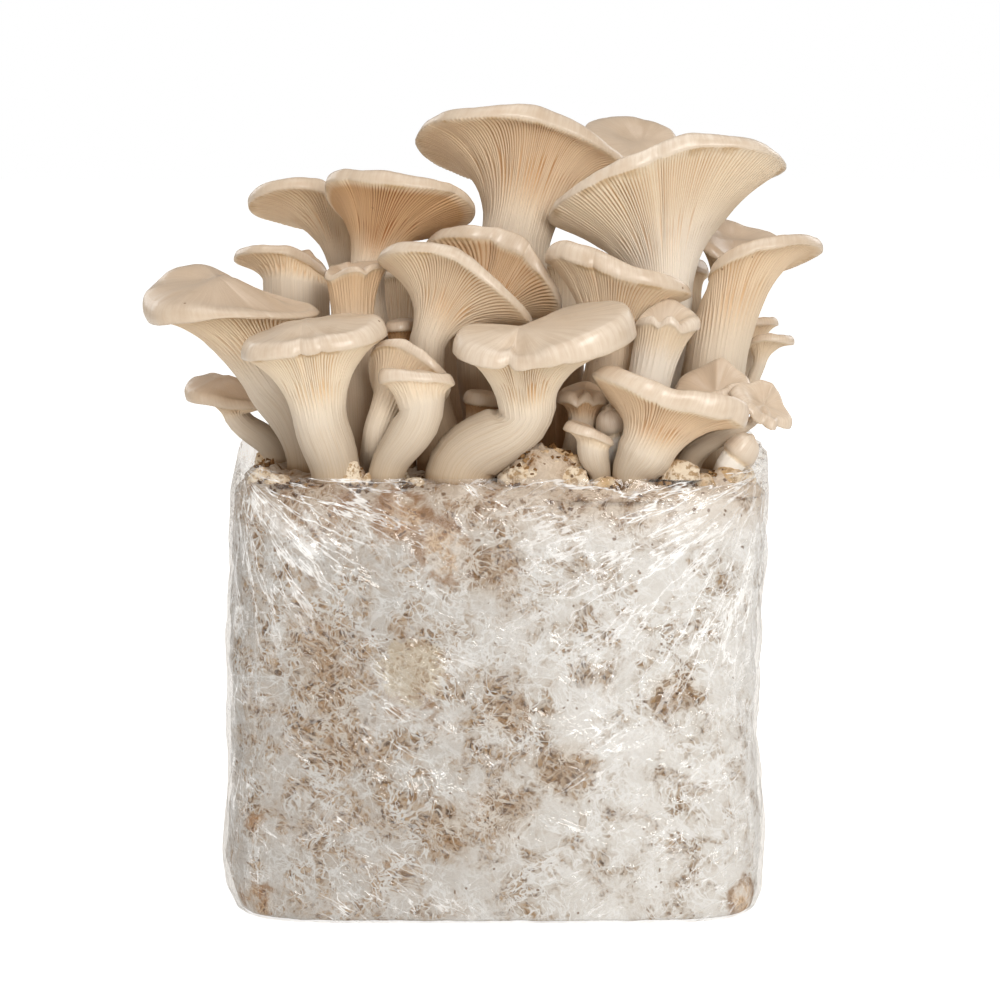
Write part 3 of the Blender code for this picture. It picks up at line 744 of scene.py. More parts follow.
def grow(m, number):
    """The mushroom's detailed skin, with the attributes that its material reads."""
    angle, gill, groove = gill_angles(m)
    rings, zones, along = smooth_rings(m, angle, margin(m, angle, number))
    pressed = np.zeros(rings.shape[:2])
    for row, (place, deep) in enumerate(zip(along, gill_depth(m, along))):
        pressed[row] = deep * gill_press(place, gill, groove)
    zone = np.repeat(zones[:, None], len(angle), axis=1)
    uneven = (0.35 + 0.2 * smooth(zone, 2.0, 2.6)) * lumps(rings, SWELLING, number, 2)
    uneven = (uneven + 0.10 * lumps(rings, FINE_SWELLING, number + 5)) * smooth(zone, 0.0, 0.25)
    rings = rings + outward_normals(rings) * (uneven - pressed)[..., None]
    x, y, z = np.moveaxis(rings, -1, 0)
    values = {
        # inside sets the painted shade deep in the cluster; amber is each cap's share of painted shade under
        # it.
        "inside": smooth(z, 245, 180) * smooth(y, -44, -12) * smooth(np.abs(x - 5), 82, 50),
        "zone": zone,
        "groove": pressed / GILL_DEPTH,
        "grain": np.stack([*(way(angle) * GRAIN_REACH + 0 * zone for way in (np.cos, np.sin)), zone], -1),
        "tan": np.full(zone.shape, TAN.get(m.name, USUAL_TAN)),
        "amber": np.full(zone.shape, GILL_SHADE.get(m.name, USUAL_GILL_SHADE)),
    }
    return skin("fruit_" + m.name, rings, (*m.foot, STEM_FOOT), rings[-1].mean(0), values)


fruits = {m.name: grow(m, number) for number, m in enumerate(MUSHROOMS)}
print("mushroom triangles:", sum(triangles(obj) for obj in fruits.values()))

# %% [markdown]
# ## Colours of the flesh
# Fresh oyster mushrooms are cream under the cap and tan on it. The colour follows the zone, and goes from the
# cream to the tan ramp by each mushroom's own share. Up the stem it is darker, partly painted shade under the
# caps. In the grooves it turns amber, painted shade that deepens under the rim and under some caps. All of it
# comes from the attributes of the skin, so it stays in place from every side.

# %% Colours of the flesh
flesh, tree, surface, _ = new_material("mushroom_flesh")
zone, groove, inside = (read(name) for name in ("zone", "groove", "inside"))
tan_share, gill_shade_share = read("tan"), read("amber")
grain = read("grain", "Vector")
place = node("TexCoord").outputs["Object"]
quarter = times(zone, 0.25)
# Up the stem the stops are darker than on the bell, partly painted shade under the caps, darkest at the foot.
FOOT_STOPS = ((0.0, (0.40, 0.26, 0.14)), (0.02, (0.48, 0.37, 0.26)), (0.08, (0.49, 0.40, 0.305)))
pale = ramp(quarter, (
    *FOOT_STOPS, (0.24, (0.66, 0.565, 0.455)), (0.38, (0.86, 0.74, 0.58)), (0.49, (0.80, 0.66, 0.49)),
    (0.53, (0.70, 0.59, 0.47)), (0.66, (0.80, 0.69, 0.57)), (0.80, (0.77, 0.64, 0.50)),
    (1.0, (0.70, 0.57, 0.44)),
))
tanned = ramp(quarter, (
    *FOOT_STOPS, (0.24, (0.68, 0.575, 0.46)), (0.38, (0.79, 0.61, 0.42)), (0.49, (0.72, 0.53, 0.34)),
    (0.53, (0.62, 0.49, 0.36)), (0.66, (0.66, 0.52, 0.385)), (0.80, (0.60, 0.45, 0.32)),
    (1.0, (0.55, 0.41, 0.29)),
))
under_rim = span(zone, 1.1, 1.8)
# Painted shade in the grooves between gills, amber, and deeper under the rim.
light_groove_shade = mix(under_rim, (0.74, 0.56, 0.37), (0.64, 0.38, 0.17))
deep_groove_shade = mix(under_rim, (0.58, 0.36, 0.18), (0.38, 0.16, 0.045))
here_and_there = plus(0.55, times(span(noise(grain, 0.11, 1.0), 0.35, 0.6), 0.45))
groove_shade = times(span(groove, 0.12, 0.85), here_and_there)
colour = mix(groove_shade, mix(tan_share, pale, tanned), mix(gill_shade_share, light_groove_shade, deep_groove_shade))
print("flesh colours ready")

# %% [markdown]
# ## Streaks and stains of the flesh
# Over that lie fine streaks and strands along the stem, blotches and rays on the cap, a honey-coloured seam
# along the lip in places, and a few specks of dust. Painted shade darkens the underside by its amber share
# and makes the flesh darker and warmer deep in the cluster, and painted light makes it nearly white round
# some necks.

# %% Streaks and stains of the flesh
on_cap = span(zone, 1.92, 2.2)
# Caps with tan below 0 get painted light round the neck and less painted shade in the cluster.
painted_light_share = span(tan_share, 0.0, -0.5)
streaks = noise(grain, 1.6, 4.0, 0.6)
blotches = noise(place, 75.0, 4.0, 0.55)
streak = times(span(streaks, 0.3, 0.7), minus(1.0, times(on_cap, 0.7)))
strand = times(span(noise(grain, 1.1, 3.0, 0.7), 0.46, 0.64), span(zone, 1.15, 0.85))
# Deep in the cluster the flesh is made darker and warmer: painted shade.
painted_cavity_shade = times(inside, minus(0.65, times(painted_light_share, 0.6)))
# Round the neck the flesh is painted nearly white: painted light.
painted_light_neck = times(span(zone, 0.35, 0.7), span(zone, 1.75, 1.25), painted_light_share)
ray = times(span(noise(grain, 0.75, 3.0, 0.6), 0.40, 0.64), span(zone, 2.0, 2.35), span(zone, 3.75, 3.2))
seam = times(span(zone, 1.93, 2.0), span(zone, 2.12, 2.03), span(blotches, 0.50, 0.62))
colour = paint(colour, (  # mask, how strong, tone, and how it blends
    # The underside darkened amber by each cap's share: painted shade.
    (times(span(zone, 0.9, 1.5), span(zone, 2.0, 1.9)), gill_shade_share, (0.74, 0.57, 0.42), "MULTIPLY"),
    (streak, 0.35, (0.93, 0.88, 0.80), "SOFT_LIGHT"),
    (strand, 0.45, (0.84, 0.74, 0.62), "MULTIPLY"),
    (times(span(blotches, 0.48, 0.72), on_cap), 0.45, (0.52, 0.38, 0.25), "MIX"),
    (painted_cavity_shade, 1.0, (0.78, 0.56, 0.34), "MULTIPLY"),
    (painted_light_neck, 0.85, (0.97, 0.93, 0.86), "MIX"),
    (ray, 0.42, (0.58, 0.43, 0.30), "MIX"),
    (seam, 0.6, (0.50, 0.32, 0.14), "MIX"),
    (specks(place, 95.0, 0.065, 0.14), 0.75, (0.24, 0.12, 0.05), "MIX"),
))
along_grain = times(streaks, minus(1.0, times(on_cap, 0.6)))
finish_surface(
    plus(along_grain, times(noise(place, 900.0, 3.0), 0.3)), 0.35, 0.0006,
    Base_Color=colour, Roughness=minus(0.62, times(on_cap, 0.20)), Specular_IOR_Level=0.4,
    Coat_Weight=times(on_cap, 0.55), Coat_Roughness=0.24,
)
for name, fruit in fruits.items():
    dress(fruit, flesh, "mushroom_" + name)
print("flesh on", len(fruits), "mushrooms")

# %% [markdown]
# ## The block's outline
# The bag is pressed round the block, so both follow the same outline: a box with full corners, a little wider
# low down, that bulges and dents by a millimetre or two. Each row gives a height and the outline there.

# %% The block's outline
BLOCK_TOP = 169.0
OUTLINE = np.array([  # height, half width, half depth, how far the middle lies to the right
    (0.0, 99.5, 62.5, -2.0), (1.6, 102.5, 64.5, -2.0), (8.0, 105.0, 65.2, -2.2), (22.0, 106.3, 65.5, -2.3),
    (36.0, 106.3, 65.5, -2.0), (64.0, 103.9, 65.0, -3.1), (100.0, 103.8, 64.5, -2.4),
    (140.0, 104.1, 65.0, -1.5), (158.0, 103.8, 65.5, -0.6), (173.0, 103.0, 65.0, -0.2),
])
CORNER = 6  # the outline is a superellipse: the higher this power, the fuller its corners
AROUND = 580  # points round the block and the bag
even = np.arange(AROUND) * 2 * math.pi / AROUND
ROUND = even + 0.16 * np.sin(2 * even) + 0.12 * np.cos(even)  # closer together along the front than behind


def outline_ring(height, inset=0.0):
    """Points round the outline at a height, that much inside it, and their outward directions."""
    softening = min(4.0, height / 3) * np.array([-1, -0.5, 0, 0.5, 1])
    half_width, half_depth, middle = (
        np.interp(height + softening, OUTLINE[:, 0], OUTLINE[:, column]).mean() for column in (1, 2, 3)
    )
    half_width, half_depth = half_width - inset, half_depth - inset
    size = (np.abs(np.cos(ROUND)) ** CORNER + np.abs(np.sin(ROUND)) ** CORNER) ** (-1 / CORNER)
    across, along = np.cos(ROUND) * size, np.sin(ROUND) * size
    ring = np.stack([middle + across * half_width, along * half_depth, np.full(AROUND, float(height))], -1)
    slopes = [np.sign(way) * np.abs(way) ** (CORNER - 1) for way in (across, along)]
    out = np.stack([slopes[0] / half_width, slopes[1] / half_depth, 0 * across], -1)
    return ring, out / np.linalg.norm(out, axis=-1, keepdims=True)


def bulge(points):
    """How far the pressed block stands out or in, in millimetres, the same for the block and its film."""
    slant = points @ np.array([[0.8, 0.0, 0.35], [0.0, 1.0, 0.0], [-0.6, 0.0, 0.95]])
    pillows = np.minimum(np.abs(lumps(slant, 34.0, 15, 2)), 0.55)
    return (1.1 * lumps(points, 44.0, 11, 2) + 3.0 * pillows - 1.2) * smooth(points[..., 2], 0.0, 14.0)


ring, _ = outline_ring(60)
print("block at 60 mm up:", np.ptp(ring[:, 0]).round(1), "x", np.ptp(ring[:, 1]).round(1), "mm")

# %% [markdown]
# ## The block
# Its sides are crumbly under the film. On its top, mycelium has grown into low collars round the stems' feet
# and into a few mounds between them, and its edge is rounded off.

# %% The block
MOUNDS = (  # x, y, half width, half depth, height
    (17, -44, 15, 10.5, 14.5), (67, -45, 7, 7, 4.5), (-91.5, -10, 5, 9, 5), (-56, -50, 5, 4, 6),
    (84, -44, 6, 5, 4),
)
BLOCK_INSET, BLOCK_FOOT = 0.8, 0.95  # inside the film at the sides and above it at the bottom
COLLAR_HEIGHT, COLLAR_WIDTH = 1.8, 2.6  # round each stem's foot
EDGE_DROP, EDGE_WIDTH = 5.0, 9.0  # how far the top's rounded edge falls, and how far in it begins
CRUMBS, CRUMB_RELIEF = 7.0, 0.75  # the size of the lumps at the block's sides, and how far they stand out


def ground(x, y):
    """Height of the block's top at a place between the stems."""
    flat = np.stack([x, y, 0 * x], -1)
    height = BLOCK_TOP - 0.8 + 1.1 * lumps(flat, 9.0, 21, 3)
    inward = 64.5 * (1 - ((np.abs(x + 1) / 102) ** CORNER + (np.abs(y) / 63.5) ** CORNER) ** (1 / CORNER))
    for mound_x, mound_y, half_width, half_depth, rise in MOUNDS:
        away = ((x - mound_x) / half_width) ** 2 + ((y - mound_y) / half_depth) ** 2
        cap = rise * np.sqrt(np.maximum(0, 1 - away)) * (1 + 0.16 * lumps(flat, 4.5, 31, 3))
        height = np.maximum(height, BLOCK_TOP - 0.5 + cap)
    for m in MUSHROOMS:
        away = np.hypot(x - m.foot[0], y - m.foot[1]) - m.foot_radius
        collar = COLLAR_HEIGHT * np.exp(-((away / COLLAR_WIDTH) ** 2))
        height = height + collar * (0.7 + 0.5 * lumps(flat, 3.0, 41))
    return height - EDGE_DROP * (1 - smooth(inward, -2.0, EDGE_WIDTH)) ** 2


block_rings = []
for height in np.concatenate([[BLOCK_FOOT, 2.2, 4.0, 6.5], np.linspace(9, BLOCK_TOP - 5, 62)]):
    ring, out = outline_ring(height, BLOCK_INSET)
    crumbly = CRUMB_RELIEF * lumps(ring, CRUMBS, 12, 3) - 0.3
    block_rings.append(ring + out * (bulge(ring) + np.minimum(crumbly, 0.35))[:, None])
edge_ring, out = outline_ring(BLOCK_TOP - 4, BLOCK_INSET)
centre = edge_ring.mean(0)
edge_ring = edge_ring + out * bulge(edge_ring)[:, None]
for share in np.linspace(0, 1, 38)[:-1]:
    ring = centre + (edge_ring - centre) * (1 - share)
    ring[:, 2] = ground(ring[:, 0], ring[:, 1])
    block_rings.append(ring)
block = skin("colonised_block", np.array(block_rings), (-2, 0, BLOCK_FOOT), block_rings[-1].mean(0))
print("block triangles:", triangles(block))

# %% [markdown]
# ## Threads, holes and patches
# The white of the block is a tangle of threads. A thread shows where a slow noise passes through its middle
# value, and a Voronoi texture's edges are a net with holes. Both are drawn out along one direction and bent
# by two more noises, because mycelium spreads in ragged fans. A patch is a soft round mask at one place.

# %% Threads, holes and patches
mycelium, tree, surface, _ = new_material("mycelium_block")
place = node("TexCoord").outputs["Object"]
bent = place
for scale, amount in ((50.0, 0.012), (230.0, 0.0022)):
    swirl = {0: noise(place, scale, field="Color"), 1: (amount,) * 3}
    swirl = node("VectorMath", swirl, operation="MULTIPLY").outputs[0]
    bent = node("VectorMath", {0: bent, 1: swirl}, operation="ADD").outputs[0]
BEND = 8.2  # how far the bending shifts a place on average, in millimetres


def lay(turn, stretch):
    """Bent places, drawn out along one direction, so that what grows there lies that way."""
    settings = {"Vector": bent, "Rotation": (0, turn, 0.3), "Scale": (stretch, 1.0, 1.0)}
    return node("Mapping", settings, vector_type="TEXTURE").outputs[0]


def threads(scale, thin, turn):
    """A mask of thin winding threads."""
    return span(apart(noise(lay(turn, 2.6), scale, 3.0), 0.5), thin, 0.12 * thin)


def holes(scale, low, high, turn):
    """A mask of the holes in a net of threads."""
    net = node("TexVoronoi", {"Vector": lay(turn, 1.7), "Scale": scale}, feature="DISTANCE_TO_EDGE")
    return span(net.outputs["Distance"], low, high)


def patches(*spots):
    """A soft mask at one or more places on the block: x, y, z and size in millimetres."""
    masks = []
    for *spot, size in spots:
        middle = tuple((value + BEND) * MM for value in spot)
        near = node("VectorMath", {0: bent, 1: middle}, operation="DISTANCE").outputs["Value"]
        masks.append(span(near, size * MM, size * 0.3 * MM))
    return most(*masks)


print("bent places ready")

# %% [markdown]
# ## Sawdust and felt
# Where the mycelium is dense it looks like felt, and where it is thin the brown sawdust shows through its
# holes. A level says how thin it is: clumps and a slow noise change it from place to place, and a few named
# patches are the ones where the real block shows most brown. The left side is painted darker and greyer than
# the right, with more sawdust showing, as painted shade for light that falls from the right.

# %% Sawdust and felt
FRONT, BACK = -64, 64
bare = patches(
    (-0.4, FRONT, 43, 17), (1.5, FRONT, 80, 12), (-21, FRONT, 35, 15), (24, FRONT, 59, 14),
    (-67, FRONT, 92, 18), (-72, FRONT, 110, 17), (-4, FRONT, 136, 15), (-64, FRONT, 70, 16),
    (66, FRONT, 90, 12), (84, 20, 60, 22), (-104, 10, 90, 20), (-30, BACK, 70, 24), (50, BACK, 120, 20),
    (-60, BACK, 130, 20), (100, -20, 120, 16),
)
grains = node("TexVoronoi", {"Vector": bent, "Scale": 650.0}).outputs["Color"]
sawdust = ramp(node("SeparateColor", {"Color": grains}).outputs[0], (
    (0.0, (0.055, 0.023, 0.008)), (0.3, (0.15, 0.077, 0.027)),
    (0.65, (0.25, 0.14, 0.056)), (1.0, (0.40, 0.26, 0.13)),
))
slow = noise(place, 24.0, 3.0, 0.55)
clumps = noise(bent, 95.0, 5.0, 0.66)
# Towards the left the felt and threads are painted darker and greyer, with more sawdust: painted shade.
painted_light_from_right = span(node("SeparateXYZ", {0: place}).outputs["X"], -0.07, 0.07)
level = plus(clumps, times(bare, 0.15), times(minus(slow, 0.5), 0.30), times(minus(0.45, painted_light_from_right), 0.07))
hole = most(holes(330.0, 0.06, 0.22, 0.6), times(holes(560.0, 0.06, 0.25, -0.7), 0.7))
dense = mix(painted_light_from_right, (0.505, 0.47, 0.43), (0.80, 0.78, 0.75))
looser = mix(painted_light_from_right, (0.43, 0.39, 0.35), (0.69, 0.65, 0.59))
felt = mix(span(level, 0.40, 0.68), mix(slow, dense, looser), (0.43, 0.335, 0.245))
colour = mix(times(hole, span(level, 0.47, 0.62), 0.95), felt, sawdust)
THREADS = (  # how many a metre, how thin they are, and which way they lie
    (75.0, 0.013, 0.62), (130.0, 0.024, -0.6), (150.0, 0.026, 0.5), (240.0, 0.030, 1.4),
)
thick_or_thin = plus(times(span(noise(place, 90.0), 0.36, 0.6), 0.65), 0.35)
web = times(most(*(threads(*sort) for sort in THREADS)), thick_or_thin)
colour = mix(times(web, 0.9), colour, mix(painted_light_from_right, (0.64, 0.63, 0.61), (0.86, 0.85, 0.83)))
print("felt ready")

# %% [markdown]
# ## Stains of the block
# Amber stains with a dark rind lie where the block has dried, one patch is cream, and the top fifth is
# tinged brown, partly as painted shade, and strewn with chips. All have ragged edges, because the clumps cut
# into them.

# %% Stains of the block
ragged = span(clumps, 0.42, 0.56)
amber = patches(
    (-38, FRONT, 157, 14), (-23, FRONT, 144, 16), (-99, -58, 4, 14), (96, -58, 4, 14), (-95, -60, 37, 5),
)
rind = times(span(amber, 0.05, 0.3), span(amber, 0.8, 0.45))
rind = most(rind, patches((-38, FRONT, 86, 9), (-31, FRONT, 83, 6), (-60, FRONT, 163, 8)))
cream = span(plus(patches((-33, FRONT, 99, 19)), times(ragged, -0.45)), 0.1, 0.4)
high = node("SeparateXYZ", {0: bent}).outputs["Z"]
# The top fifth tinged brown, partly painted shade.
top_shade = times(span(high, 0.150, 0.176), plus(0.2, times(slow, 0.8)))
chips = times(specks(bent, 190.0, 0.24, 0.34), span(high, 0.115, 0.165))
colour = paint(colour, (  # mask, how strong, tone, and how it blends
    (bare, 0.5, (0.76, 0.62, 0.46), "MULTIPLY"),
    (cream, 0.72, (0.92, 0.80, 0.60), "MULTIPLY"),
    (times(amber, plus(0.30, times(ragged, 0.5))), 1.0, (0.86, 0.58, 0.31), "MULTIPLY"),
    (times(rind, ragged), 0.75, (0.26, 0.135, 0.05), "MIX"),
    (top_shade, 0.95, (0.84, 0.62, 0.40), "MULTIPLY"),
    (specks(bent, 340.0, 0.24, 0.14), 0.85, (0.17, 0.085, 0.03), "MIX"),
    (chips, 0.9, (0.16, 0.075, 0.025), "MIX"),
))
finish_surface(
    noise(place, 420.0, 2.0, 0.6), 0.5, 0.0012, Base_Color=colour, Roughness=0.9, Specular_IOR_Level=0.2
)
dress(block, mycelium, "substrate_block")
print("mycelium on the block")

# %% [markdown]
# ## The film bag
# A clear bag clings to the damp block, and where it was pulled it stands off in long sharp folds. Places on
# it are easiest to give as the way round from the middle of the front, positive to the right, and the height.
# Each fold is a line between such places, and the film rises along it to a narrow crest.

# %% The film bag
RIM = 173.0
FILM_OUTSET = 0.4  # how far outside the block's outline the film lies
EAR_RISE, EAR_START = 6.0, 0.72  # how far the rim's ends stand up, and from what share of the half width
EAR_FOOT, LIP_FOOT = 150, 164  # the heights where the ends begin to stand up and the rim begins to waver
FOLD_COUNT, FOLD_SEED = 150, 5
ROUND_TO_BACK, SIDE = 325, 110  # how far round the random folds go, and where the bag's sides and back begin
STEEP, GENTLE = 1.4, 2.4  # how wide the two flanks of a fold are, against its foot
STAND = 0.8  # how much of a fold's crest the film keeps
FOLDS = [  # way round, height, way round, height, how high the crest is, how wide its foot is
    (-100, 171, -64, 142, 1.8, 1.4), (-92, 168, -70, 150, 1.4, 1.0), (-80, 169, -59, 143, 1.3, 0.9),
    (98, 168, 15, 143, 1.8, 1.3), (92, 166, 30, 138, 1.7, 1.2), (75, 165, 22, 150, 1.2, 1.0),
    (97, 160, 45, 128, 1.3, 1.2), (62, 170, 20, 158, 1.2, 1.0), (40, 172, 5, 165, 1.0, 0.9),
    (11, 71, 57, 71, 1.1, 1.5), (20, 74, 62, 79, 0.8, 1.2), (68, 53, 84, 73, 1.1, 1.2),
    (56, 22, 73, 38, 1.0, 1.2), (-99, 150, -101, 60, 1.3, 1.3), (-94, 120, -90, 45, 1.0, 1.2),
    (-103, 100, -98, 20, 1.2, 1.5), (99, 155, 102, 80, 1.4, 1.4), (93, 130, 97, 50, 1.1, 1.2),
    (103, 90, 99, 15, 1.2, 1.4), (-60, 120, -25, 75, 0.9, 1.2), (-25, 120, 10, 98, 0.8, 1.2),
    (-42, 60, -8, 40, 0.8, 1.1), (-7.9, 173, 3.4, 168, 1.0, 0.8), (-50, 168, -20, 160, 0.9, 1.0),
    (-33, 112, -38, 86, 1.0, 1.0), (-38, 86, -22, 80, 0.9, 1.0), (-20, 80, -2, 60, 0.8, 1.0),
]


def way_round(ring):
    """Millimetres round the outline from the middle of the front, positive to the right."""
    steps = np.linalg.norm(np.roll(ring, -1, axis=0) - ring, axis=1)
    path = np.concatenate([[0], np.cumsum(steps)[:-1]])
    front = int(np.argmin(np.abs(ring[:, 0] + 1) + (ring[:, 1] > 0) * 999))
    length = steps.sum()
    return (path - path[front] + length / 2) % length - length / 2


def random_folds(count, seed):
    """More folds, long ones down the sides and back and short ones everywhere."""
    made = []
    for i in range(count):
        a, b, c, d = (lattice(np.array([[i, k, seed]]), 77)[0] for k in range(4))
        start, height, length = a * ROUND_TO_BACK, 88 + 82 * b, 22 + 20 * c
        lean = (0.9 if abs(start) > SIDE else 0.5) * math.pi / 2 + 1.0 * d
        end = (start + length * math.cos(lean), height - length * math.sin(lean))
        made.append((start, height, *end, 0.45 + 0.3 * abs(c), 0.8 + 0.4 * abs(d)))
    return made


def fold_height(way, height, folds):
    """How far the film stands off: steep on one side of each fold and gentler on the other."""
    total = np.zeros_like(way)
    for x0, z0, x1, z1, crest, foot in folds:
        run, climb = x1 - x0, z1 - z0
        length = math.hypot(run, climb)
        share = np.clip(((way - x0) * run + (height - z0) * climb) / length**2, -0.2, 1.2)
        bow = 0.05 * length * np.sin(math.pi * np.clip(share, 0, 1))
        aside = ((way - x0) * climb - (height - z0) * run) / length - bow
        slope = np.where(aside > 0, GENTLE, STEEP) * foot
        fade = smooth(share, -0.02, 0.18) * (1 - smooth(share, 0.8, 1.02))
        profile = np.exp(-(np.sqrt(aside * aside + 0.09) - 0.3) / slope)
        total = np.maximum(total, crest * fade * profile)
    return total


WAY = way_round(outline_ring(90)[0])
ALL_FOLDS = FOLDS + random_folds(FOLD_COUNT, FOLD_SEED)
film_rings, crease = [], []
for height in np.concatenate([[0.0, 0.8, 2.0, 4.0, 6.5], np.linspace(9, RIM, 132)]):
    ring, out = outline_ring(height, -FILM_OUTSET)
    if height > EAR_FOOT:
        from_middle = np.abs(ring[:, 0]) / np.abs(ring[:, 0]).max()
        ring[:, 2] += EAR_RISE * smooth(from_middle, EAR_START, 1.0) * smooth(height, EAR_FOOT, RIM)
    stand = STAND * fold_height(WAY, ring[:, 2], ALL_FOLDS)
    slack = 0.25 * (1 + lumps(ring, 13.0, 61, 2))
    press = bulge(ring) + slack * smooth(height, 2, 12) + stand * smooth(height, 3, 12)
    lip = smooth(height, LIP_FOOT, RIM)
    press = press * (1 - 0.3 * lip) + lip * 0.9 * lumps(ring, 24.0, 71, 2)
    film_rings.append(ring + out * press[:, None])
    crease.append(stand)
film_rings, crease = np.array(film_rings), np.array(crease)
way = np.stack([WAY + 0 * crease, film_rings[..., 2], 0 * crease], -1)
film = skin("clear_film_bag", film_rings, (-2, 0, 0.0), None, {"crease": crease, "way": way})
print("film triangles:", triangles(film))

# %% [markdown]
# ## Wrinkles of the film
# Between its folds the film has fine wrinkles, drawn as thin white lines of painted highlight. They
# fall to the right on the left half and rise on the right half, stand upright at the edges, and spread in
# fans from the upper corners, where the bag is pulled. A milky noise says where the film lies slack.

# %% Wrinkles of the film
clear_film, tree, surface, output = new_material("clear_film")
way, crest = read("way", "Vector"), read("crease")
parts = node("SeparateXYZ", {0: way}).outputs
sideways, upwards = parts["X"], parts["Y"]


def wrinkle_lines(turn, thin, length=34.0, width=6.0):
    """A mask of long thin wrinkles that run in one direction round the bag."""
    settings = {"Vector": way, "Rotation": (0, 0, turn), "Scale": (length, width, 1.0)}
    run = node("Mapping", settings, vector_type="TEXTURE").outputs[0]
    return span(apart(noise(run, 1.0, 3.0, 0.5, 0.25), 0.5), thin, 0.1 * thin)


def fan(corner_x, corner_z, reach):
    """A mask of thin creases that spread from one upper corner of the front."""
    across, down = minus(sideways, corner_x), minus(upwards, corner_z)
    far = calc("SQRT", plus(times(across, across), times(down, down)))
    turn = times(calc("ARCTAN2", down, across), 6.0)
    spread = node("CombineXYZ", {0: turn, 1: times(far, 0.02)}).outputs[0]
    return times(span(apart(noise(spread, 1.0, 4.0, 0.6), 0.5), 0.024, 0.003), span(far, reach, 0.45 * reach))


to_the_right = span(sideways, -40.0, 30.0)
near_edge = span(apart(calc("ABSOLUTE", sideways), 100.0), 22.0, 4.0)
falling = times(wrinkle_lines(-0.62, 0.014), minus(1.0, to_the_right))
rising = times(wrinkle_lines(0.55, 0.014), to_the_right)
upright = times(wrinkle_lines(1.50, 0.020, 40.0, 4.5), plus(0.12, near_edge))
milky = span(noise(way, 0.04, 4.0, 0.55, 0.6), 0.45, 0.68)
wrinkle = times(most(falling, rising, upright), plus(0.2, times(milky, 0.8)))
wrinkle = most(wrinkle, fan(-106, 176, 90), fan(106, 176, 135))
print("wrinkles ready")

# %% [markdown]
# ## Clear film
# Film is mostly seen through, and greys a little where it is seen at a slant. On it lie gloss, stronger at a
# slant, and a whitish haze on crests and wrinkles, partly the film's own milkiness and partly painted
# highlight. Light that only passes by, to cast a shadow or to light the block, goes through a plain clear
# shader instead, which keeps the render quick.

# %% Clear film
creased = most(minus(1.0, times(apart(noise(way, 0.085, 3.0, 0.5, 1.0), 0.5), 5.0)), 0.0)
normal = finish_surface(
    creased, 0.5, 0.0014, Base_Color=(0.95, 0.945, 0.93), Roughness=0.10, Specular_IOR_Level=0.8
)
grazing = node("Fresnel", {"IOR": 1.45, "Normal": normal}).outputs[0]
clear = node("BsdfTransparent", {"Color": mix(span(grazing, 0.05, 0.6), grey(0.98), (0.84, 0.82, 0.79))})
gloss = node("BsdfGlossy", {"Color": grey(1.0), "Roughness": 0.07, "Normal": normal})
plain = node("BsdfTransparent", {"Color": grey(0.86)})
# Haze on crests and wrinkles: the film's milkiness and painted highlight.
ridge_haze_and_glint = times(span(crest, 0.45, 1.1), plus(0.15, times(milky, 0.45)))
haze_and_glint = plus(ridge_haze_and_glint, times(wrinkle, 0.75), times(milky, 0.12))
seen = node("Clamp", {"Value": haze_and_glint, "Min": 0.02, "Max": 0.95}).outputs[0]
ray = node("LightPath").outputs
passing_by = most(ray["Is Shadow Ray"], ray["Is Diffuse Ray"])
shader = clear.outputs[0]
for share, layer in ((seen, surface), (calc("MINIMUM", grazing, 0.40), gloss), (passing_by, plain)):
    shader = node("MixShader", {0: share, 1: shader, 2: layer.outputs[0]}).outputs[0]
feed(output.inputs["Surface"], shader)
dress(film, clear_film, "bag")
print("film ready")

# %% [markdown]
# ## Husks and crumbs
# The top of the block is littered with dark husks and crumbs of bran, most of them round the stems' feet.
# Each is a flake with four corners and a thickness, lying on the ground at its own angle. They are joined in
# one mesh, and an attribute says how dark each flake is.

# %% Husks and crumbs
HUSK_PLACES = [  # x, y, how far they scatter, how many
    (-88, -38, 6, 26), (-80, -52, 8, 30), (-53, -55, 6, 40), (-54, -40, 5, 24), (-36, -56, 6, 26),
    (-33, -40, 6, 18), (2, -40, 5, 26), (8, -50, 6, 30), (24, -44, 7, 40), (34, -40, 5, 20), (45, -54, 5, 26),
    (66, -50, 9, 60), (76, -44, 7, 40), (88, -30, 8, 26), (-95, -14, 6, 16), (-70, 0, 14, 24),
    (-20, 30, 26, 60), (30, 28, 22, 50), (60, 30, 20, 40), (-60, 50, 22, 50), (10, 55, 22, 50),
    (80, 50, 16, 36), (92, 0, 10, 24), (-92, 30, 10, 20),
]
FLAKE_OUTLINE = np.array([(-1, -0.35), (0.1, -0.6), (1, -0.15), (0.1, 0.6)])  # along and aside
FLAKE_BEND = np.array([0.3, 0.0, 0.35, -0.05])[:, None]
FLAKE_THICKNESS = 0.55  # against half its length
HUSK_SEED = 100
SMALL_HUSK, HUSK_RANGE = 0.6, 1.3  # half the length of the smallest flake, and how much longer they get
PILE = 1.6  # how high the flakes are piled in the middle of each place
FLAKE_FACES = [[0, 1, 2, 3], [7, 6, 5, 4], *([k, 4 + k, 4 + (k + 1) % 4, (k + 1) % 4] for k in range(4))]


def flake(centre, size, tilt, turn):
    """The eight points of one thin bent flake: its upper side, then its lower."""
    along = unit(np.array([math.cos(turn), math.sin(turn), tilt[0]]))
    aside = unit(np.cross([tilt[1], 0.2 * tilt[0], 1.0], along))
    up = np.cross(along, aside)
    flat = centre + size * (FLAKE_OUTLINE[:, :1] * along + FLAKE_OUTLINE[:, 1:] * aside)
    bend = FLAKE_BEND * size * up
    return [*(flat + bend), *(flat + 0.3 * bend - FLAKE_THICKNESS * size * up)]


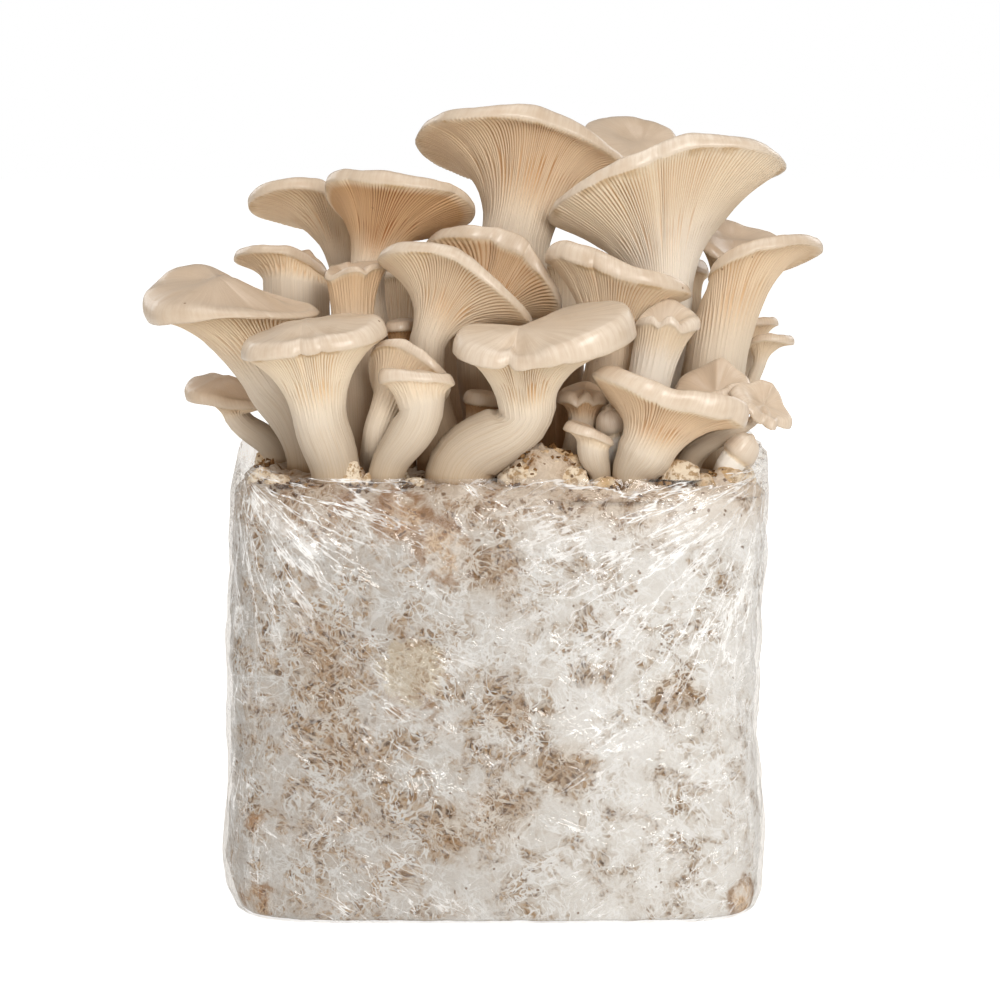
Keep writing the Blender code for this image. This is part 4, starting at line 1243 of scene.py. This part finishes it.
def draws(count, seed, width=8):
    """A table of fixed numbers from -1 to 1, one row for each thing to be made."""
    row, column = np.meshgrid(np.arange(count), np.arange(width), indexing="ij")
    return lattice(np.stack([row, column, row * 0 + seed], -1), seed + 17)


def free_ground(x, y):
    """True on the block where no stem stands."""
    free = (np.abs(x + 1) < 99) & (np.abs(y) < 60)
    for m in MUSHROOMS:
        free &= np.hypot(x - m.foot[0], y - m.foot[1]) > m.foot_radius + 0.3
    return free


husk_points, husk_tones = [], []
for number, (x, y, spread, count) in enumerate(HUSK_PLACES):
    draw = draws(count, HUSK_SEED + number)
    away = spread * np.abs(draw[:, 0]) ** 0.8
    px, py = x + away * np.cos(draw[:, 1] * math.pi), y + away * np.sin(draw[:, 1] * math.pi)
    keep = free_ground(px, py)
    px, py, away, draw = px[keep], py[keep], away[keep], draw[keep]
    pile = PILE * np.abs(draw[:, 3]) * (1 - away / spread)
    centres = np.stack([px, py, ground(px, py) + 0.25 + pile], -1)
    sizes = SMALL_HUSK + HUSK_RANGE * np.abs(draw[:, 2]) ** 2
    for husk in zip(centres, sizes, draw[:, 4:6] * 0.7, draw[:, 6] * math.pi):
        husk_points += flake(*husk)
    husk_tones += np.repeat(0.50 + 0.42 * draw[:, 7], 8).tolist()
husk_faces = [[first + k for k in face] for first in range(0, len(husk_points), 8) for face in FLAKE_FACES]
husks = add_mesh("husks_and_crumbs", husk_points, husk_faces)
husks.data.attributes.new("tone", "FLOAT", "POINT").data.foreach_set("value", husk_tones)
print("husks:", len(husk_points) // 8, "triangles:", triangles(husks))

# %% [markdown]
# ## Tufts of mycelium
# Between the husks stand white tufts where mycelium has grown into the open air. They are lumps pulled up
# from small rounded cones, with knobbly sides. Large ones stand on the flat top, small ones follow the
# ground.

# %% Tufts of mycelium
TUFT_PLACES = [  # x, y, half width, half depth, height
    (17, -44, 15.5, 9.5, 13.0), (8, -49, 7.0, 4.5, 8.0), (27, -50, 8.0, 4.5, 7.0), (-57, -51, 5.5, 4.5, 9.5),
    (-50, -52, 4.0, 3.0, 4.5), (-86, -43, 5.0, 4.0, 3.5), (-93, -33, 4.5, 4.0, 5.0),
    (-33, -50, 5.0, 4.0, 3.0), (68, -48, 7.0, 5.0, 5.5), (78, -47, 6.5, 5.0, 4.0), (88, -40, 6.0, 6.0, 6.5),
    (95, -28, 4.5, 5.0, 6.0), (40, -53, 5.0, 3.5, 3.0), (-95, 24, 5.0, 5.0, 5.0), (95, 20, 5.0, 5.0, 4.0),
    (-20, 52, 6.0, 6.0, 4.5), (35, 50, 6.0, 6.0, 5.0), (-68, 50, 6.0, 6.0, 4.5), (86, 46, 5.0, 5.0, 4.5),
    (0, 20, 6.0, 6.0, 5.0), (34, 40, 6.0, 6.0, 5.0), (-24, 26, 6.0, 6.0, 5.0), (-44, 28, 5.0, 5.0, 4.0),
    (-40, -30, 4.5, 4.5, 4.0),
]
LARGE_TUFT = 7  # millimetres high
TUFT_ROOT = 1.5  # how far a tuft begins below the ground
TUFT_KNOBS, TUFT_LUMPS = 300, 340  # seeds
KNOB_SIZE, LUMP_SIZE = 4.6, 3.4


def tuft_rings(number, x, y, half_width, half_depth, rise):
    """The rings of one tuft from its root upwards, and its tip."""
    around, rows = int(26 + 4 * half_width), int(9 + 1.6 * rise)
    angle = np.arange(around) * 2 * math.pi / around
    middle = np.array([x, y], float)
    base = float(ground(middle[:1], middle[1:])[0]) if rise < LARGE_TUFT else BLOCK_TOP
    rings = []
    for share in np.linspace(0, 1, rows)[:-1]:
        width = (1 - share**2.0) ** 0.5 * (1 + 0.12 * np.cos(2 * angle + number))
        spot = [x + width * half_width * np.cos(angle), y + width * half_depth * np.sin(angle)]
        ring = np.stack([*spot, base - TUFT_ROOT + (rise + TUFT_ROOT) * share + 0 * angle], -1)
        knobs = 1 + 0.26 * lumps(ring, KNOB_SIZE, TUFT_KNOBS + number, 3)
        ring[:, :2] = middle + (ring[:, :2] - middle) * knobs[:, None]
        ring[:, 2] += (0.5 + 0.08 * rise) * lumps(ring, LUMP_SIZE, TUFT_LUMPS + number, 2) * share
        rings.append(ring)
    return rings, [x, y, base + rise]


tuft_points, tuft_faces = [], []
for number, sizes in enumerate(TUFT_PLACES):
    rings, tip = tuft_rings(number, *sizes)
    faces, edges = ring_faces(len(rings), len(rings[0]), len(tuft_points))
    tuft_points += [*np.concatenate(rings).tolist(), tip]
    tuft_faces += faces + tip_faces(edges[-1], len(tuft_points) - 1).tolist()
tufts = add_mesh("mycelium_tufts", tuft_points, tuft_faces)
tufts.data.shade_smooth()
print("tufts:", len(TUFT_PLACES), "triangles:", triangles(tufts))

# %% [markdown]
# ## Colours of the litter
# The husks run from black-brown to straw, chosen by each flake's own tone. The tufts are the same white
# threads as the block, a little ochre where they have dried, and browner where their bump's noise is low.

# %% Colours of the litter
husk_finish, tree, surface, _ = new_material("dark_husk")
place = node("TexCoord").outputs["Object"]
grain = noise(place, 1400.0)
husk_colour = ramp(read("tone"), (
    (0.0, (0.070, 0.032, 0.010)), (0.4, (0.15, 0.075, 0.026)),
    (0.7, (0.30, 0.165, 0.065)), (1.0, (0.58, 0.38, 0.19)),
))
husk_colour = mix(0.5, husk_colour, mix(grain, (0.35, 0.27, 0.2), grey(1.0)), "MULTIPLY")
finish_surface(grain, 0.5, 0.0003, Base_Color=husk_colour, Roughness=0.8, Specular_IOR_Level=0.15)
dress(husks, husk_finish)

tuft_finish, tree, surface, _ = new_material("white_tuft")
place = node("TexCoord").outputs["Object"]
fuzz = noise(place, 420.0, 5.0, 0.65)
colour = mix(span(noise(place, 90.0, 3.0), 0.42, 0.66), (0.84, 0.72, 0.56), (0.62, 0.41, 0.20))
colour = mix(span(fuzz, 0.52, 0.40), colour, (0.46, 0.31, 0.17))
colour = mix(times(specks(place, 430.0, 0.36, 0.07), 0.9), colour, (0.12, 0.055, 0.02))
finish_surface(fuzz, 0.8, 0.0010, Base_Color=colour, Roughness=0.95)
dress(tufts, tuft_finish)
print("litter coloured")
